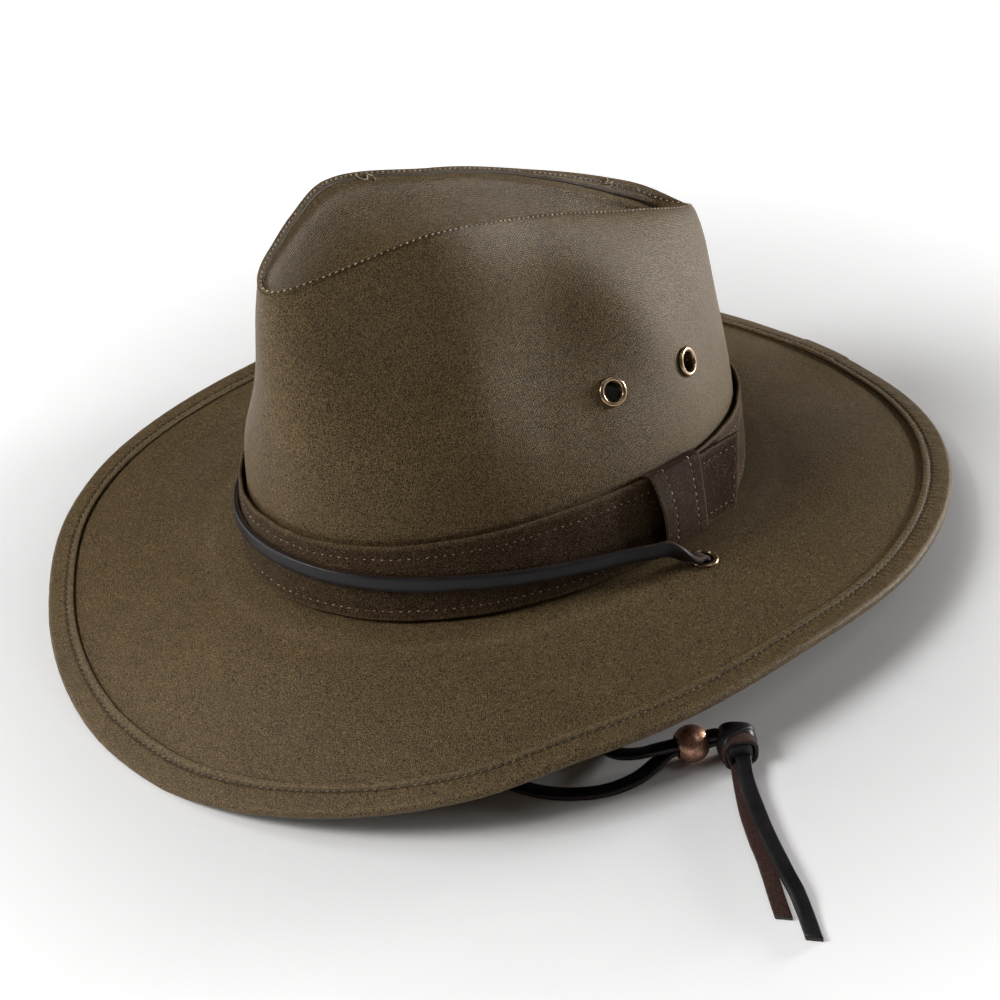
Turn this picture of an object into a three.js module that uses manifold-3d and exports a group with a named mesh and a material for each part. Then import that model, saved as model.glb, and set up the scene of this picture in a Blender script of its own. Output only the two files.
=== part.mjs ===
// A bush hat of waxed cotton cloth with a leather chin lace. It rests by itself on a flat surface,
// on the front and the back of its brim, with the lace laid on that surface.
// Millimetres. X points to the wearer's left, the front of the hat faces -Y, and Z is up from the
// surface. Angles round the hat start at the front and grow towards the wearer's left.

import * as THREE from 'three';
import { mergeVertices } from 'three/addons/utils/BufferGeometryUtils.js';
import Module from 'manifold-3d';

// Clearance between pieces that lie on each other
const GAP = 0.3;

// Crown, measured outside, in a head frame whose plane is the joint between crown and brim
const HEAD_LENGTH = 207.6;
const HEAD_WIDTH = 161.2;
const HEAD_HEIGHT = 28.3;
const HEAD_TILT = 5.5;
const HEAD_SHIFT = -2.3;
const SIDE_RISE = 4;
const CROWN_HEIGHT = 134;
const CREST_LENGTH = 200;
const CREST_WIDTH = 68;
const CREST_SHIFT = -1.6;
const CROWN_WALL = 1.6;
const DENT_DEPTH = 10;

// Brim and the cloth tape that binds its edge
const BRIM_WIDTH = 75;
const BRIM_RISE = 23.5;
const BRIM_ARCH = 6;
const BRIM_WALL = 1.8;
const BINDING_WIDTH = 9.5;
const BINDING_WALL = 0.9;
const BINDING_OVERLAP = 22;
const EDGE_SEAT = 1.6;

// Cloth band, its loose end and the loop that keeps it
const BAND_HEIGHT = 30;
const BAND_WALL = 1.4;
const KEEPER_WIDTH = 26;
const KEEPER_WALL = 1;
const KEEPER_ANGLE = 103.5;
const KEEPER_STANDOFF = 4;
const TAIL_LENGTH = 22;
const TAIL_FLARE = 5;
const TAIL_CUT = 5;

// Metal eyelets: four vents in the crown and two for the lace in the brim
const EYELET_OUTER = 11.4;
const EYELET_HOLE = 7.4;
const EYELET_BARREL = 0.6;
const EYELET_FLANGE = 0.9;
const EYELET_LIFT = 0.55;
const VENT_FRONT_ANGLE = 94;
const VENT_FRONT_HEIGHT = 61;
const VENT_BACK_ANGLE = 120;
const VENT_BACK_HEIGHT = 59.5;
const LACE_EYELET_ANGLE = 102;
const LACE_EYELET_REACH = 14;

// Leather lace, bead and knot
const LACE_WIDTH = 5.5;
const LACE_THICKNESS = 2;
const BEAD_DIAMETER = 13.6;
const BEAD_BORE = 8.4;
const KNOT_WIDTH = 13.2;
const KNOT_HEIGHT = 12.5;
const KNOT_TURN = -35;

// How the hat changes round its edge, from the front to the back.
// Lengths are shares: width of BRIM_WIDTH, rise of BRIM_RISE, arch of BRIM_ARCH, crest of half of
// CREST_WIDTH, height and dip of CROWN_HEIGHT. Shoulder runs from 0, a flat wall up to a sharp
// crest, to 1, an upright wall with a round crest. Seam is the share of the way from the crest to
// the middle of the dip at which the side panel ends.
const ROUND = [
  { angle: 0, width: 1.034, rise: 0, arch: 0.9, crest: 0.9, height: 0.892, dip: 0.1, shoulder: 0.3, seam: 0 },
  { angle: 30, width: 1.088, rise: 0.435, arch: 0.6, crest: 0.88, height: 0.936, dip: 0.13, shoulder: 0.1, seam: 0 },
  { angle: 45, width: 1.12, rise: 0.745, arch: 0.35, crest: 0.95, height: 0.975, dip: 0.15, shoulder: 0.1, seam: 0 },
  { angle: 60, width: 1.07, rise: 0.964, arch: 0.1, crest: 1.04, height: 1.008, dip: 0.17, shoulder: 0.1, seam: 0 },
  { angle: 90, width: 1, rise: 0.928, arch: -0.2, crest: 0.86, height: 0.936, dip: 0.18, shoulder: 0.25, seam: 0 },
  { angle: 120, width: 1.08, rise: 0.657, arch: 0.1, crest: 0.85, height: 0.823, dip: 0.17, shoulder: 0.4, seam: 0.1 },
  { angle: 150, width: 1.125, rise: 0.258, arch: 0.5, crest: 0.95, height: 0.726, dip: 0.13, shoulder: 0.5, seam: 0.25 },
  { angle: 180, width: 1.09, rise: 0, arch: 0.6, crest: 1, height: 0.668, dip: 0.09, shoulder: 0.6, seam: 0.35 },
];

// Dents in the side panel and, with a depth under 0, swells, the same on both sides. Height and
// reach are shares of the wall from the brim to the crest, spread is in degrees, and depth is a
// share of DENT_DEPTH.
const DENTS = [
  { name: 'pinch', angle: 44, spread: 22, height: 0.7, reach: 0.26, depth: 0.9 },
  { name: 'side hollow', angle: 78, spread: 24, height: 0.62, reach: 0.28, depth: 0.9 },
  { name: 'rear ridge', angle: 109, spread: 13, height: 0.66, reach: 0.34, depth: -0.25 },
  { name: 'front swell', angle: 36, spread: 30, height: 0.34, reach: 0.2, depth: -0.38 },
  { name: 'back slope', angle: 148, spread: 22, height: 0.62, reach: 0.35, depth: 0.28 },
];

// Held stretch of the lace, from the middle of the front to an eyelet: share of the way round,
// height as a share of the band's, and distance from the band's face as a share of the
// distance from that face to the eyelet.
const HELD_LACE = [
  { share: 0, height: 0.6, out: 0 },
  { share: 0.35, height: 0.5, out: 0 },
  { share: 0.6, height: 0.36, out: 0 },
  { share: 0.8, height: 0.25, out: 0.14 },
  { share: 0.9, height: 0.2, out: 0.6 },
  { share: 1, height: 0.16, out: 1 },
];

// Last steps of the held lace, where it turns flat and dives into the eyelet: distance before
// the hole's axis, height over the brim, and turn from 0, on edge, to 1, flat.
const LACE_DIVE = [
  { before: 7, height: 3.6, turn: 0.8 },
  { before: 3.6, height: 3.1, turn: 1 },
  { before: 1.6, height: 2.4, turn: 1 },
  { before: 0.3, height: 1.2, turn: 1 },
  { before: 0, height: 0.3, turn: 1 },
  { before: 0, height: -0.6, turn: 1 },
];

// Free strands of the chin lace on the surface, from the eyelet to the knot, chosen by hand.
const LEFT_ROUTE = [
  [94.4, 15, 17], [94.2, 10.9, 8.5], [94, 2.4, 2.6], [94.4, -11.6, 1.02], [97, -27.6, 1.02],
  [102, -42.6, 1.02], [110, -54.6, 1.02], [120, -60.9, 1.05], [128, -61.2, 2], [135.4, -58.4, 4.3],
  [140.6, -55, 6.8], [144.1, -51, 7.8], [147.7, -44.3, 7.95], [150.3, -38.8, 8.1],
  [152, -36.6, 8.5],
];
const RIGHT_ROUTE = [
  [-94.4, 15, 17], [-93.6, 10.4, 8.5], [-90, 1.4, 2.6], [-80, -11.6, 1.02], [-64, -27.6, 1.02],
  [-42, -45.6, 1.02], [-16, -61.6, 1.02], [14, -76.6, 1.02], [44, -88.6, 1.02], [72, -95.6, 1.02],
  [95, -98.1, 1.02], [111, -96.6, 1.02], [123.2, -92, 1.02], [132.6, -84.8, 1.02],
  [139.2, -75.6, 1.02], [142.2, -65, 1.4], [143.3, -57.4, 3.5], [144.1, -51, 5.4],
  [147.7, -44.3, 5.6], [150.3, -38.8, 5.75], [152, -36.6, 6.1],
];
const BEAD_CENTRE = [147.7, -44.3];
const BEAD_AXIS = [0.48, 0.877];
const KNOT_CENTRE = [160, -34.1];
const LONG_TAIL = [
  [166.6, -37.6, 5], [171.8, -42, 4.3], [178.3, -46.4, 3.65], [187.3, -51.9, 3.42],
  [194.6, -56.3, 3.4], [202, -60.4, 3.4], [209.5, -64.3, 3.4], [216.6, -68, 3.4],
  [223.2, -71.1, 3.1], [229.4, -74.4, 1.9], [235.4, -78, 1.15], [241.7, -82.1, 1.02],
];
const SHORT_TAIL = [
  [166.3, -39.8, 2.4], [169.9, -42.7, 1.4], [175.1, -46.8, 1.03], [182.6, -52.5, 1.02],
  [189.6, -57.2, 1.02], [196.7, -61.7, 1.02], [203.1, -65.4, 1.02], [209.8, -69.8, 1.02],
  [215.6, -73.7, 1.02], [221.4, -77.6, 1.02], [227.6, -81.6, 1.02],
];

// Steps of the meshes
const ROUND_STEPS = 60;
const WALL_STEPS = 8;
const DIP_STEPS = 3;
const BRIM_STEPS = 5;
const EYELET_STEPS = 10;
const BEAD_STEPS = 14;

const COLOURS = {
  cloth: { color: 0x4a3b25, roughness: 0.85, metalness: 0 },
  leather: { color: 0x1b1514, roughness: 0.55, metalness: 0 },
  brass: { color: 0x7a5738, roughness: 0.4, metalness: 1 },
  bead: { color: 0x7d4a35, roughness: 0.45, metalness: 1 },
};

const wasm = await Module();
wasm.setup();

const hat = new THREE.Group();
const crown = new THREE.Group();
crown.position.set(0, HEAD_SHIFT, HEAD_HEIGHT);
crown.rotation.x = -THREE.MathUtils.degToRad(HEAD_TILT);
crown.updateMatrixWorld();
hat.add(crown);

function addMesh(parent, name, geometry, finish) {
  geometry.computeVertexNormals();
  const mesh = new THREE.Mesh(geometry, new THREE.MeshStandardMaterial(COLOURS[finish]));
  mesh.name = name;
  parent.add(mesh);
  return mesh;
}

// Reads one column of a table at a place between its rows, on a smooth curve that never
// overshoots a row and is level at both ends.
function readTable(table, key, column, place) {
  const last = table.length - 1;
  const at = THREE.MathUtils.clamp(place, table[0][key], table[last][key]);
  const row = Math.max(1, table.findIndex((entry) => entry[key] >= at));
  const climb = (index) => {
    const rise = table[index][column] - table[index - 1][column];
    return rise / (table[index][key] - table[index - 1][key]);
  };
  const slope = (index) => {
    if (index === 0 || index === last) return 0;
    const before = climb(index);
    const after = climb(index + 1);
    return before * after <= 0 ? 0 : (2 * before * after) / (before + after);
  };
  const span = table[row][key] - table[row - 1][key];
  const t = (at - table[row - 1][key]) / span;
  const start = table[row - 1][column];
  const end = table[row][column];
  const bend = t * (1 - t) * span * ((1 - t) * slope(row - 1) - t * slope(row));
  return start + (end - start) * t * t * (3 - 2 * t) + bend;
}

// Angle from the front on either side, 0 to 180.
function sideAngle(angle) {
  const turned = THREE.MathUtils.euclideanModulo(angle, 360);
  return Math.min(turned, 360 - turned);
}

function around(column, angle) {
  return readTable(ROUND, 'angle', column, sideAngle(angle));
}

function volume(points, index) {
  let sum = 0;
  const cross = new THREE.Vector3();
  for (let i = 0; i < index.length; i += 3) {
    cross.crossVectors(points[index[i + 1]], points[index[i + 2]]);
    sum += points[index[i]].dot(cross) / 6;
  }
  return sum;
}

// Joins closed outlines of one length into a solid. Where the row of outlines is open, its ends
// are closed by strips between each point and the one opposite to it in the outline.
function loft(outlines, closed) {
  const size = outlines[0].length;
  const count = outlines.length;
  const points = outlines.flat();
  const index = [];
  for (let i = 0; i < (closed ? count : count - 1); i += 1) {
    for (let j = 0; j < size; j += 1) {
      const a = i * size + j;
      const b = i * size + ((j + 1) % size);
      const c = ((i + 1) % count) * size + ((j + 1) % size);
      const d = ((i + 1) % count) * size + j;
      index.push(a, b, c, a, c, d);
    }
  }
  if (!closed) {
    const far = (count - 1) * size;
    for (let j = 0; j < size / 2 - 1; j += 1) {
      const opposite = size - 1 - j;
      index.push(j, opposite - 1, j + 1, j, opposite, opposite - 1);
      index.push(far + j, far + j + 1, far + opposite - 1);
      index.push(far + j, far + opposite - 1, far + opposite);
    }
  }
  const geometry = new THREE.BufferGeometry();
  geometry.setFromPoints(points);
  geometry.setIndex(volume(points, index) < 0 ? index.reverse() : index);
  return geometry;
}

// Turns a closed profile of [radius, height] points about the Z axis.
function turnProfile(profile, steps) {
  const outlines = Array.from({ length: steps }, (_, i) => {
    const turn = (i * 2 * Math.PI) / steps;
    return profile.map(([r, z]) => new THREE.Vector3(r * Math.cos(turn), r * Math.sin(turn), z));
  });
  return loft(outlines, true);
}

function toSolid(geometry) {
  const plain = geometry.clone();
  plain.deleteAttribute('normal');
  plain.deleteAttribute('uv');
  const merged = mergeVertices(plain, 1e-4);
  const vertProperties = new Float32Array(merged.attributes.position.array);
  const triVerts = new Uint32Array(merged.index.array);
  return new wasm.Manifold(new wasm.Mesh({ numProp: 3, vertProperties, triVerts }));
}

function toGeometry(solid) {
  const mesh = solid.getMesh();
  const position = new THREE.BufferAttribute(new Float32Array(mesh.vertProperties), 3);
  const geometry = new THREE.BufferGeometry();
  geometry.setAttribute('position', position);
  geometry.setIndex(new THREE.BufferAttribute(new Uint32Array(mesh.triVerts), 1));
  return geometry;
}

function cutHoles(geometry, cutters) {
  let solid = toSolid(geometry);
  for (const cutter of cutters) solid = solid.subtract(toSolid(cutter));
  return toGeometry(solid);
}

// Outline of the crown where it meets the brim, in the head frame, grown by a margin.
function basePoint(angle, margin = 0) {
  const turn = THREE.MathUtils.degToRad(angle);
  const cos = Math.cos(turn);
  const sin = Math.sin(turn);
  const radius = 1 / Math.hypot(cos / (HEAD_LENGTH / 2), sin / (HEAD_WIDTH / 2)) + margin;
  return new THREE.Vector3(radius * sin, -radius * cos, (-SIDE_RISE / 2) * Math.cos(2 * turn));
}

// Highest line round the top of the crown, in the head frame.
function crestPoint(angle) {
  const turn = THREE.MathUtils.degToRad(angle);
  return new THREE.Vector3(
    (CREST_WIDTH / 2) * around('crest', angle) * Math.sin(turn),
    CREST_SHIFT - (CREST_LENGTH / 2) * Math.cos(turn),
    CROWN_HEIGHT * around('height', angle),
  );
}

function dentDepth(angle, share) {
  let depth = 0;
  for (const dent of DENTS) {
    const across = (sideAngle(angle) - dent.angle) / dent.spread;
    const up = (share - dent.height) / dent.reach;
    depth += DENT_DEPTH * dent.depth * Math.exp(-across * across - up * up);
  }
  return depth * Math.sin(Math.PI * share);
}

// Outer face of the side panel: share 0 at the brim and 1 at the crest. The wall blends from a
// straight slope to a quarter of a squarish oval as the shoulder grows.
function wallPoint(angle, share) {
  const base = basePoint(angle);
  const crest = crestPoint(angle);
  const shoulder = around('shoulder', angle);
  const squareness = 0.6;
  const turn = (share * Math.PI) / 2;
  const up = THREE.MathUtils.lerp(share, Math.sin(turn) ** squareness, shoulder);
  const inward = THREE.MathUtils.lerp(share, 1 - Math.cos(turn) ** squareness, shoulder);
  const point = new THREE.Vector3(
    THREE.MathUtils.lerp(base.x, crest.x, inward),
    THREE.MathUtils.lerp(base.y, crest.y, inward),
    THREE.MathUtils.lerp(base.z, crest.z, up),
  );
  const radial = new THREE.Vector3(point.x, point.y, 0).normalize();
  return point.addScaledVector(radial, -dentDepth(angle, share));
}

// Face of the dip inside the crest: share 0 at the crest and 1 in the middle of the dip, which
// is a line from front to back that is a little shorter than the crest.
function dipPoint(angle, share) {
  const crest = crestPoint(angle);
  const shortening = 0.84;
  const sharp = Math.sin((share * Math.PI) / 2);
  const soft = (1 - Math.cos(share * Math.PI)) / 2;
  const fall = THREE.MathUtils.lerp(sharp, soft, around('shoulder', angle));
  return new THREE.Vector3(
    crest.x * (1 - share),
    THREE.MathUtils.lerp(crest.y, crest.y * shortening, share),
    crest.z - CROWN_HEIGHT * around('dip', angle) * fall,
  );
}

// Outward direction of a face that is a function of an angle and a share from 0 to 1.
function faceNormal(face, angle, share) {
  const step = 0.01;
  const across = face(angle + 1, share).sub(face(angle - 1, share));
  const along = face(angle, Math.min(1, share + step)).sub(face(angle, Math.max(0, share - step)));
  return across.cross(along).normalize();
}

function roundAngles(from = 0, to = 360, steps = ROUND_STEPS) {
  return Array.from({ length: steps }, (_, i) => from + (i * (to - from)) / steps);
}

// The wall's share at which its face is a given height above the brim.
function shareAtHeight(angle, height) {
  const target = basePoint(angle).z + height;
  let low = 0;
  let high = 1;
  for (let i = 0; i < 24; i += 1) {
    const middle = (low + high) / 2;
    if (wallPoint(angle, middle).z < target) low = middle;
    else high = middle;
  }
  return (low + high) / 2;
}

// Point off the side panel, over the cloth at a height above the brim, a distance out from it.
function offWall(angle, height, out) {
  const share = shareAtHeight(angle, height);
  const normal = faceNormal(wallPoint, angle, share);
  return wallPoint(angle, share).addScaledVector(normal, out);
}

// Where the tip panel starts: past the side panel's edge, or past its thickness at a sharp crest.
function tipStart(angle) {
  const seam = around('seam', angle);
  const crest = crestPoint(angle);
  const reach = crest.distanceTo(dipPoint(angle, 1));
  const edge = GAP + 1.15 * CROWN_WALL * Math.exp(-seam * 12);
  return Math.min(0.9, seam + edge / reach);
}

function sidePanel() {
  const outlines = roundAngles().map((angle) => {
    const outer = [];
    const inner = [];
    const add = (point, normal) => {
      outer.push(point);
      inner.push(point.clone().addScaledVector(normal, -CROWN_WALL));
    };
    for (let i = 0; i <= WALL_STEPS; i += 1) {
      const share = i / WALL_STEPS;
      add(wallPoint(angle, share), faceNormal(wallPoint, angle, share));
    }
    const seam = around('seam', angle);
    const wallNormal = faceNormal(wallPoint, angle, 1);
    for (const part of [0.5, 1]) {
      const share = Math.max(seam, 0.004) * part;
      const normal = faceNormal(dipPoint, angle, Math.max(share, 0.02));
      add(dipPoint(angle, share), normal.lerp(wallNormal, Math.exp(-seam * 30)).normalize());
    }
    return [...outer, ...inner.reverse()];
  });
  return loft(outlines, true);
}

function tipPanel() {
  const ends = 3;
  const steps = ROUND_STEPS / 2;
  const up = new THREE.Vector3(0, 0, 1);
  const outlines = Array.from({ length: steps + 1 }, (_, i) => {
    const angle = ends + (i * (180 - 2 * ends)) / steps;
    const start = tipStart(angle);
    const outer = [];
    const inner = [];
    for (let j = 0; j <= 2 * DIP_STEPS; j += 1) {
      const side = j <= DIP_STEPS ? angle : -angle;
      const share = THREE.MathUtils.lerp(start, 1, 1 - Math.abs(1 - j / DIP_STEPS));
      const point = dipPoint(side, share);
      const normal = faceNormal(dipPoint, side, Math.min(share, 0.97));
      if (j === DIP_STEPS) normal.x = 0;
      if (j % (2 * DIP_STEPS) === 0) normal.lerp(up, Math.exp(-12 * around('seam', angle)));
      outer.push(point);
      inner.push(point.clone().addScaledVector(normal.normalize(), -CROWN_WALL));
    }
    return [...outer, ...inner.reverse()];
  });
  return loft(outlines, false);
}

// Height of the middle of the brim's edge above the surface. It is level for a short way at the
// front and the back, where the edge is pressed flat.
function edgeHeight(angle) {
  const level = 0.032;
  const rise = Math.max(0, around('rise', angle) - level) / (1 - level);
  return EDGE_SEAT + BRIM_RISE * rise;
}

// Middle of the brim's cloth: reach 0 at the head opening's edge and 1 at the brim's edge.
function brimPoint(angle, reach) {
  const turn = THREE.MathUtils.degToRad(angle);
  const inner = basePoint(angle, -CROWN_WALL);
  inner.z -= GAP + BRIM_WALL / 2;
  inner.applyMatrix4(crown.matrixWorld);
  const width = BRIM_WIDTH * around('width', angle) - BRIM_WALL / 2 - GAP - BINDING_WALL;
  const outer = basePoint(angle, width);
  outer.y += HEAD_SHIFT;
  outer.z = edgeHeight(angle);
  const arch = BRIM_ARCH * around('arch', angle) * 4 * reach * (1 - reach);
  return inner.lerp(outer, reach).add(new THREE.Vector3(0, 0, arch));
}

// Out and up directions of the brim at a place on it.
function brimFrame(angle, reach) {
  const step = 0.02;
  const near = brimPoint(angle, Math.max(0, reach - step));
  const out = brimPoint(angle, Math.min(1, reach + step)).sub(near).normalize();
  const across = brimPoint(angle + 1, reach).sub(brimPoint(angle - 1, reach));
  const up = across.cross(out).normalize();
  return { point: brimPoint(angle, reach), out, up: up.z < 0 ? up.negate() : up };
}

// Where the binding ends on the brim, as the brim's reach.
function bindingReach(angle) {
  return 1 - BINDING_WIDTH / (BRIM_WIDTH * around('width', angle));
}

function brimSheet() {
  const outlines = roundAngles().map((angle) => {
    const top = [];
    const under = [];
    const open = BRIM_STEPS - 1;
    for (let i = 0; i <= BRIM_STEPS; i += 1) {
      const reach = i > open ? 1 : (bindingReach(angle) * i) / open;
      const { point, up } = brimFrame(angle, reach);
      top.push(point.clone().addScaledVector(up, BRIM_WALL / 2));
      under.push(point.addScaledVector(up, -BRIM_WALL / 2));
    }
    return [...top, ...under.reverse()];
  });
  return loft(outlines, true);
}

// One leaf of the binding's outline, at a distance from the middle of the brim's cloth.
function bindingLeaf(angle, distance) {
  const start = brimFrame(angle, bindingReach(angle));
  const edge = brimFrame(angle, 1);
  const nose = [90, 30, -30, -90].map((degrees) => {
    const turn = THREE.MathUtils.degToRad(degrees);
    const point = edge.point.clone().addScaledVector(edge.out, distance * Math.cos(turn));
    return point.addScaledVector(edge.up, distance * Math.sin(turn));
  });
  const top = start.point.clone().addScaledVector(start.up, distance);
  const under = start.point.clone().addScaledVector(start.up, -distance);
  return [top, ...nose, under];
}

// Cloth tape round the brim's edge. It is double where its ends overlap at the back, and
// pressed flat where it rests.
function bindingTape() {
  const overlap = THREE.MathUtils.radToDeg(BINDING_OVERLAP / (HEAD_LENGTH / 2 + BRIM_WIDTH)) / 2;
  const steps = roundAngles().filter((angle) => Math.abs(angle - 180) > overlap + 2);
  const ends = [-overlap - 1, -overlap, 0, overlap, overlap + 1].map((angle) => 180 + angle);
  const outlines = [...steps, ...ends].sort((a, b) => a - b).map((angle) => {
    const inside = BRIM_WALL / 2 + GAP;
    const double = Math.abs(angle - 180) < overlap + 0.5 ? BINDING_WALL / 2 : 0;
    const outer = bindingLeaf(angle, inside + BINDING_WALL + double);
    for (const point of outer) point.z = Math.max(point.z, 0);
    return [...outer, ...bindingLeaf(angle, inside).reverse()];
  });
  return loft(outlines, true);
}

// Distances of the band's pieces from the side panel
const BAND_OUT = KEEPER_WALL + 2 * GAP;
const TAIL_OUT = BAND_OUT + BAND_WALL + GAP;
const KEEPER_OUT = TAIL_OUT + BAND_WALL + GAP;

function bandRing() {
  const outlines = roundAngles().map((angle) => {
    const heights = [GAP, BAND_HEIGHT / 2, BAND_HEIGHT];
    const face = heights.map((height) => offWall(angle, height, BAND_OUT + BAND_WALL));
    const back = heights.map((height) => offWall(angle, height, BAND_OUT));
    return [...face, ...back.reverse()];
  });
  return loft(outlines, true);
}

// Degrees round the crown's side that a length along the band takes.
function bandDegrees(length) {
  return THREE.MathUtils.radToDeg(length / (HEAD_WIDTH / 2 + BAND_OUT));
}

// The band's loose end: it starts under the keeper, stands off further and further past it, and
// is cut at a slant.
function bandTail() {
  const keeperEnd = KEEPER_ANGLE + bandDegrees(KEEPER_WIDTH) / 2;
  const start = KEEPER_ANGLE - bandDegrees(KEEPER_WIDTH) / 4;
  const end = keeperEnd + bandDegrees(TAIL_LENGTH);
  const steps = 8;
  const outlines = Array.from({ length: steps + 1 }, (_, i) => {
    const heights = [1, BAND_HEIGHT / 2, BAND_HEIGHT - 1];
    const row = (out) => heights.map((height) => {
      const cut = bandDegrees(TAIL_CUT) * (height / BAND_HEIGHT);
      const angle = THREE.MathUtils.lerp(start, end - bandDegrees(TAIL_CUT) + cut, i / steps);
      const free = Math.max(0, (angle - keeperEnd) / (end - keeperEnd));
      return offWall(angle, height, out + TAIL_FLARE * free * free);
    });
    return [...row(TAIL_OUT + BAND_WALL), ...row(TAIL_OUT).reverse()];
  });
  return loft(outlines, false);
}

// Cloth loop over the band, sewn in under its lower edge. Its face stands off at its front edge.
function keeperLoop() {
  const half = bandDegrees(KEEPER_WIDTH) / 2;
  const steps = 6;
  const top = BAND_HEIGHT + GAP;
  const foot = 2.6;
  const outlines = Array.from({ length: steps + 1 }, (_, i) => {
    const along = i / steps;
    const angle = KEEPER_ANGLE - half + 2 * half * along;
    const bow = (height) => KEEPER_STANDOFF * (1 - along) ** 1.5 * Math.sin((Math.PI * height) / top);
    const face = (height, wall) => offWall(angle, height, KEEPER_OUT + wall + bow(height));
    const outside = [
      offWall(angle, GAP, GAP),
      offWall(angle, BAND_HEIGHT / 2, GAP),
      offWall(angle, top + KEEPER_WALL, GAP),
      offWall(angle, top + KEEPER_WALL, KEEPER_OUT + KEEPER_WALL),
      face(0.75 * top, KEEPER_WALL),
      face(top / 2, KEEPER_WALL),
      face(top / 4, KEEPER_WALL),
      face(foot, KEEPER_WALL),
    ];
    const inside = [
      offWall(angle, GAP, GAP + KEEPER_WALL),
      offWall(angle, BAND_HEIGHT / 2, GAP + KEEPER_WALL),
      offWall(angle, top, GAP + KEEPER_WALL),
      offWall(angle, top, KEEPER_OUT),
      face(0.75 * top, 0),
      face(top / 2, 0),
      face(top / 4, 0),
      face(foot, 0),
    ];
    return [...outside, ...inside.reverse()];
  });
  return loft(outlines, false);
}

// A rolled metal eyelet about the Z axis, its face flange on top of a sheet of a given wall.
function eyelet(wall) {
  const hole = EYELET_HOLE / 2;
  const barrel = hole + EYELET_BARREL;
  const outer = EYELET_OUTER / 2;
  const back = -wall - EYELET_LIFT;
  const profile = [
    [hole, back - EYELET_FLANGE / 2],
    [outer - 0.6, back - EYELET_FLANGE / 2],
    [outer - 0.6, back],
    [barrel, back],
    [barrel, EYELET_LIFT],
    [outer, EYELET_LIFT],
    [outer - 0.4, EYELET_LIFT + 0.7 * EYELET_FLANGE],
    [(hole + outer) / 2, EYELET_LIFT + EYELET_FLANGE],
    [hole, EYELET_LIFT + 0.6 * EYELET_FLANGE],
  ];
  return turnProfile(profile, EYELET_STEPS);
}

function holeCutter(wall) {
  const radius = EYELET_HOLE / 2 + EYELET_BARREL + GAP;
  const cutter = new THREE.CylinderGeometry(radius, radius, 8 * wall, 2 * EYELET_STEPS);
  return cutter.rotateX(Math.PI / 2);
}

// Moves a geometry from the origin to a place, with its Z axis along a direction.
function setOn(geometry, point, direction) {
  const turn = new THREE.Quaternion().setFromUnitVectors(new THREE.Vector3(0, 0, 1), direction);
  const scale = new THREE.Vector3(1, 1, 1);
  return geometry.applyMatrix4(new THREE.Matrix4().compose(point, turn, scale));
}

function ventPlaces() {
  const places = [];
  for (const [side, sign] of [['left', 1], ['right', -1]]) {
    const rows = [
      ['front', VENT_FRONT_ANGLE, VENT_FRONT_HEIGHT],
      ['back', VENT_BACK_ANGLE, VENT_BACK_HEIGHT],
    ];
    for (const [end, angle, height] of rows) {
      const share = shareAtHeight(sign * angle, height);
      const point = wallPoint(sign * angle, share);
      const normal = faceNormal(wallPoint, sign * angle, share);
      places.push({ name: `vent_eyelet_${side}_${end}`, point, normal });
    }
  }
  return places;
}

// Place and directions of a lace eyelet on the brim's top face.
function laceEyelet(sign) {
  const angle = sign * LACE_EYELET_ANGLE;
  const width = BRIM_WIDTH * around('width', angle);
  const { point, out, up } = brimFrame(angle, (LACE_EYELET_REACH + CROWN_WALL) / width);
  return { point: point.addScaledVector(up, BRIM_WALL / 2), out, up };
}

// Sweeps the lace's flat section along points, each with the direction of the section's width.
// The leather is pressed flat where it would pass a lowest height.
function laceSweep(stations, lowest) {
  const half = LACE_WIDTH / 2;
  const thin = LACE_THICKNESS / 2;
  const cut = 0.45;
  const section = [
    [half, thin - cut], [half - cut, thin], [cut - half, thin], [-half, thin - cut],
    [-half, cut - thin], [cut - half, -thin], [half - cut, -thin], [half, cut - thin],
  ];
  const outlines = stations.map(({ point, width, tangent }, i) => {
    const before = stations[Math.max(0, i - 1)].point;
    const after = stations[Math.min(stations.length - 1, i + 1)].point;
    const along = tangent ?? after.clone().sub(before).normalize();
    const across = width.clone().addScaledVector(along, -width.dot(along)).normalize();
    const face = along.cross(across);
    return section.map(([a, b]) => {
      const corner = point.clone().addScaledVector(across, a).addScaledVector(face, b);
      return corner.setZ(Math.max(corner.z, lowest));
    });
  });
  return loft(outlines, false);
}

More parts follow.
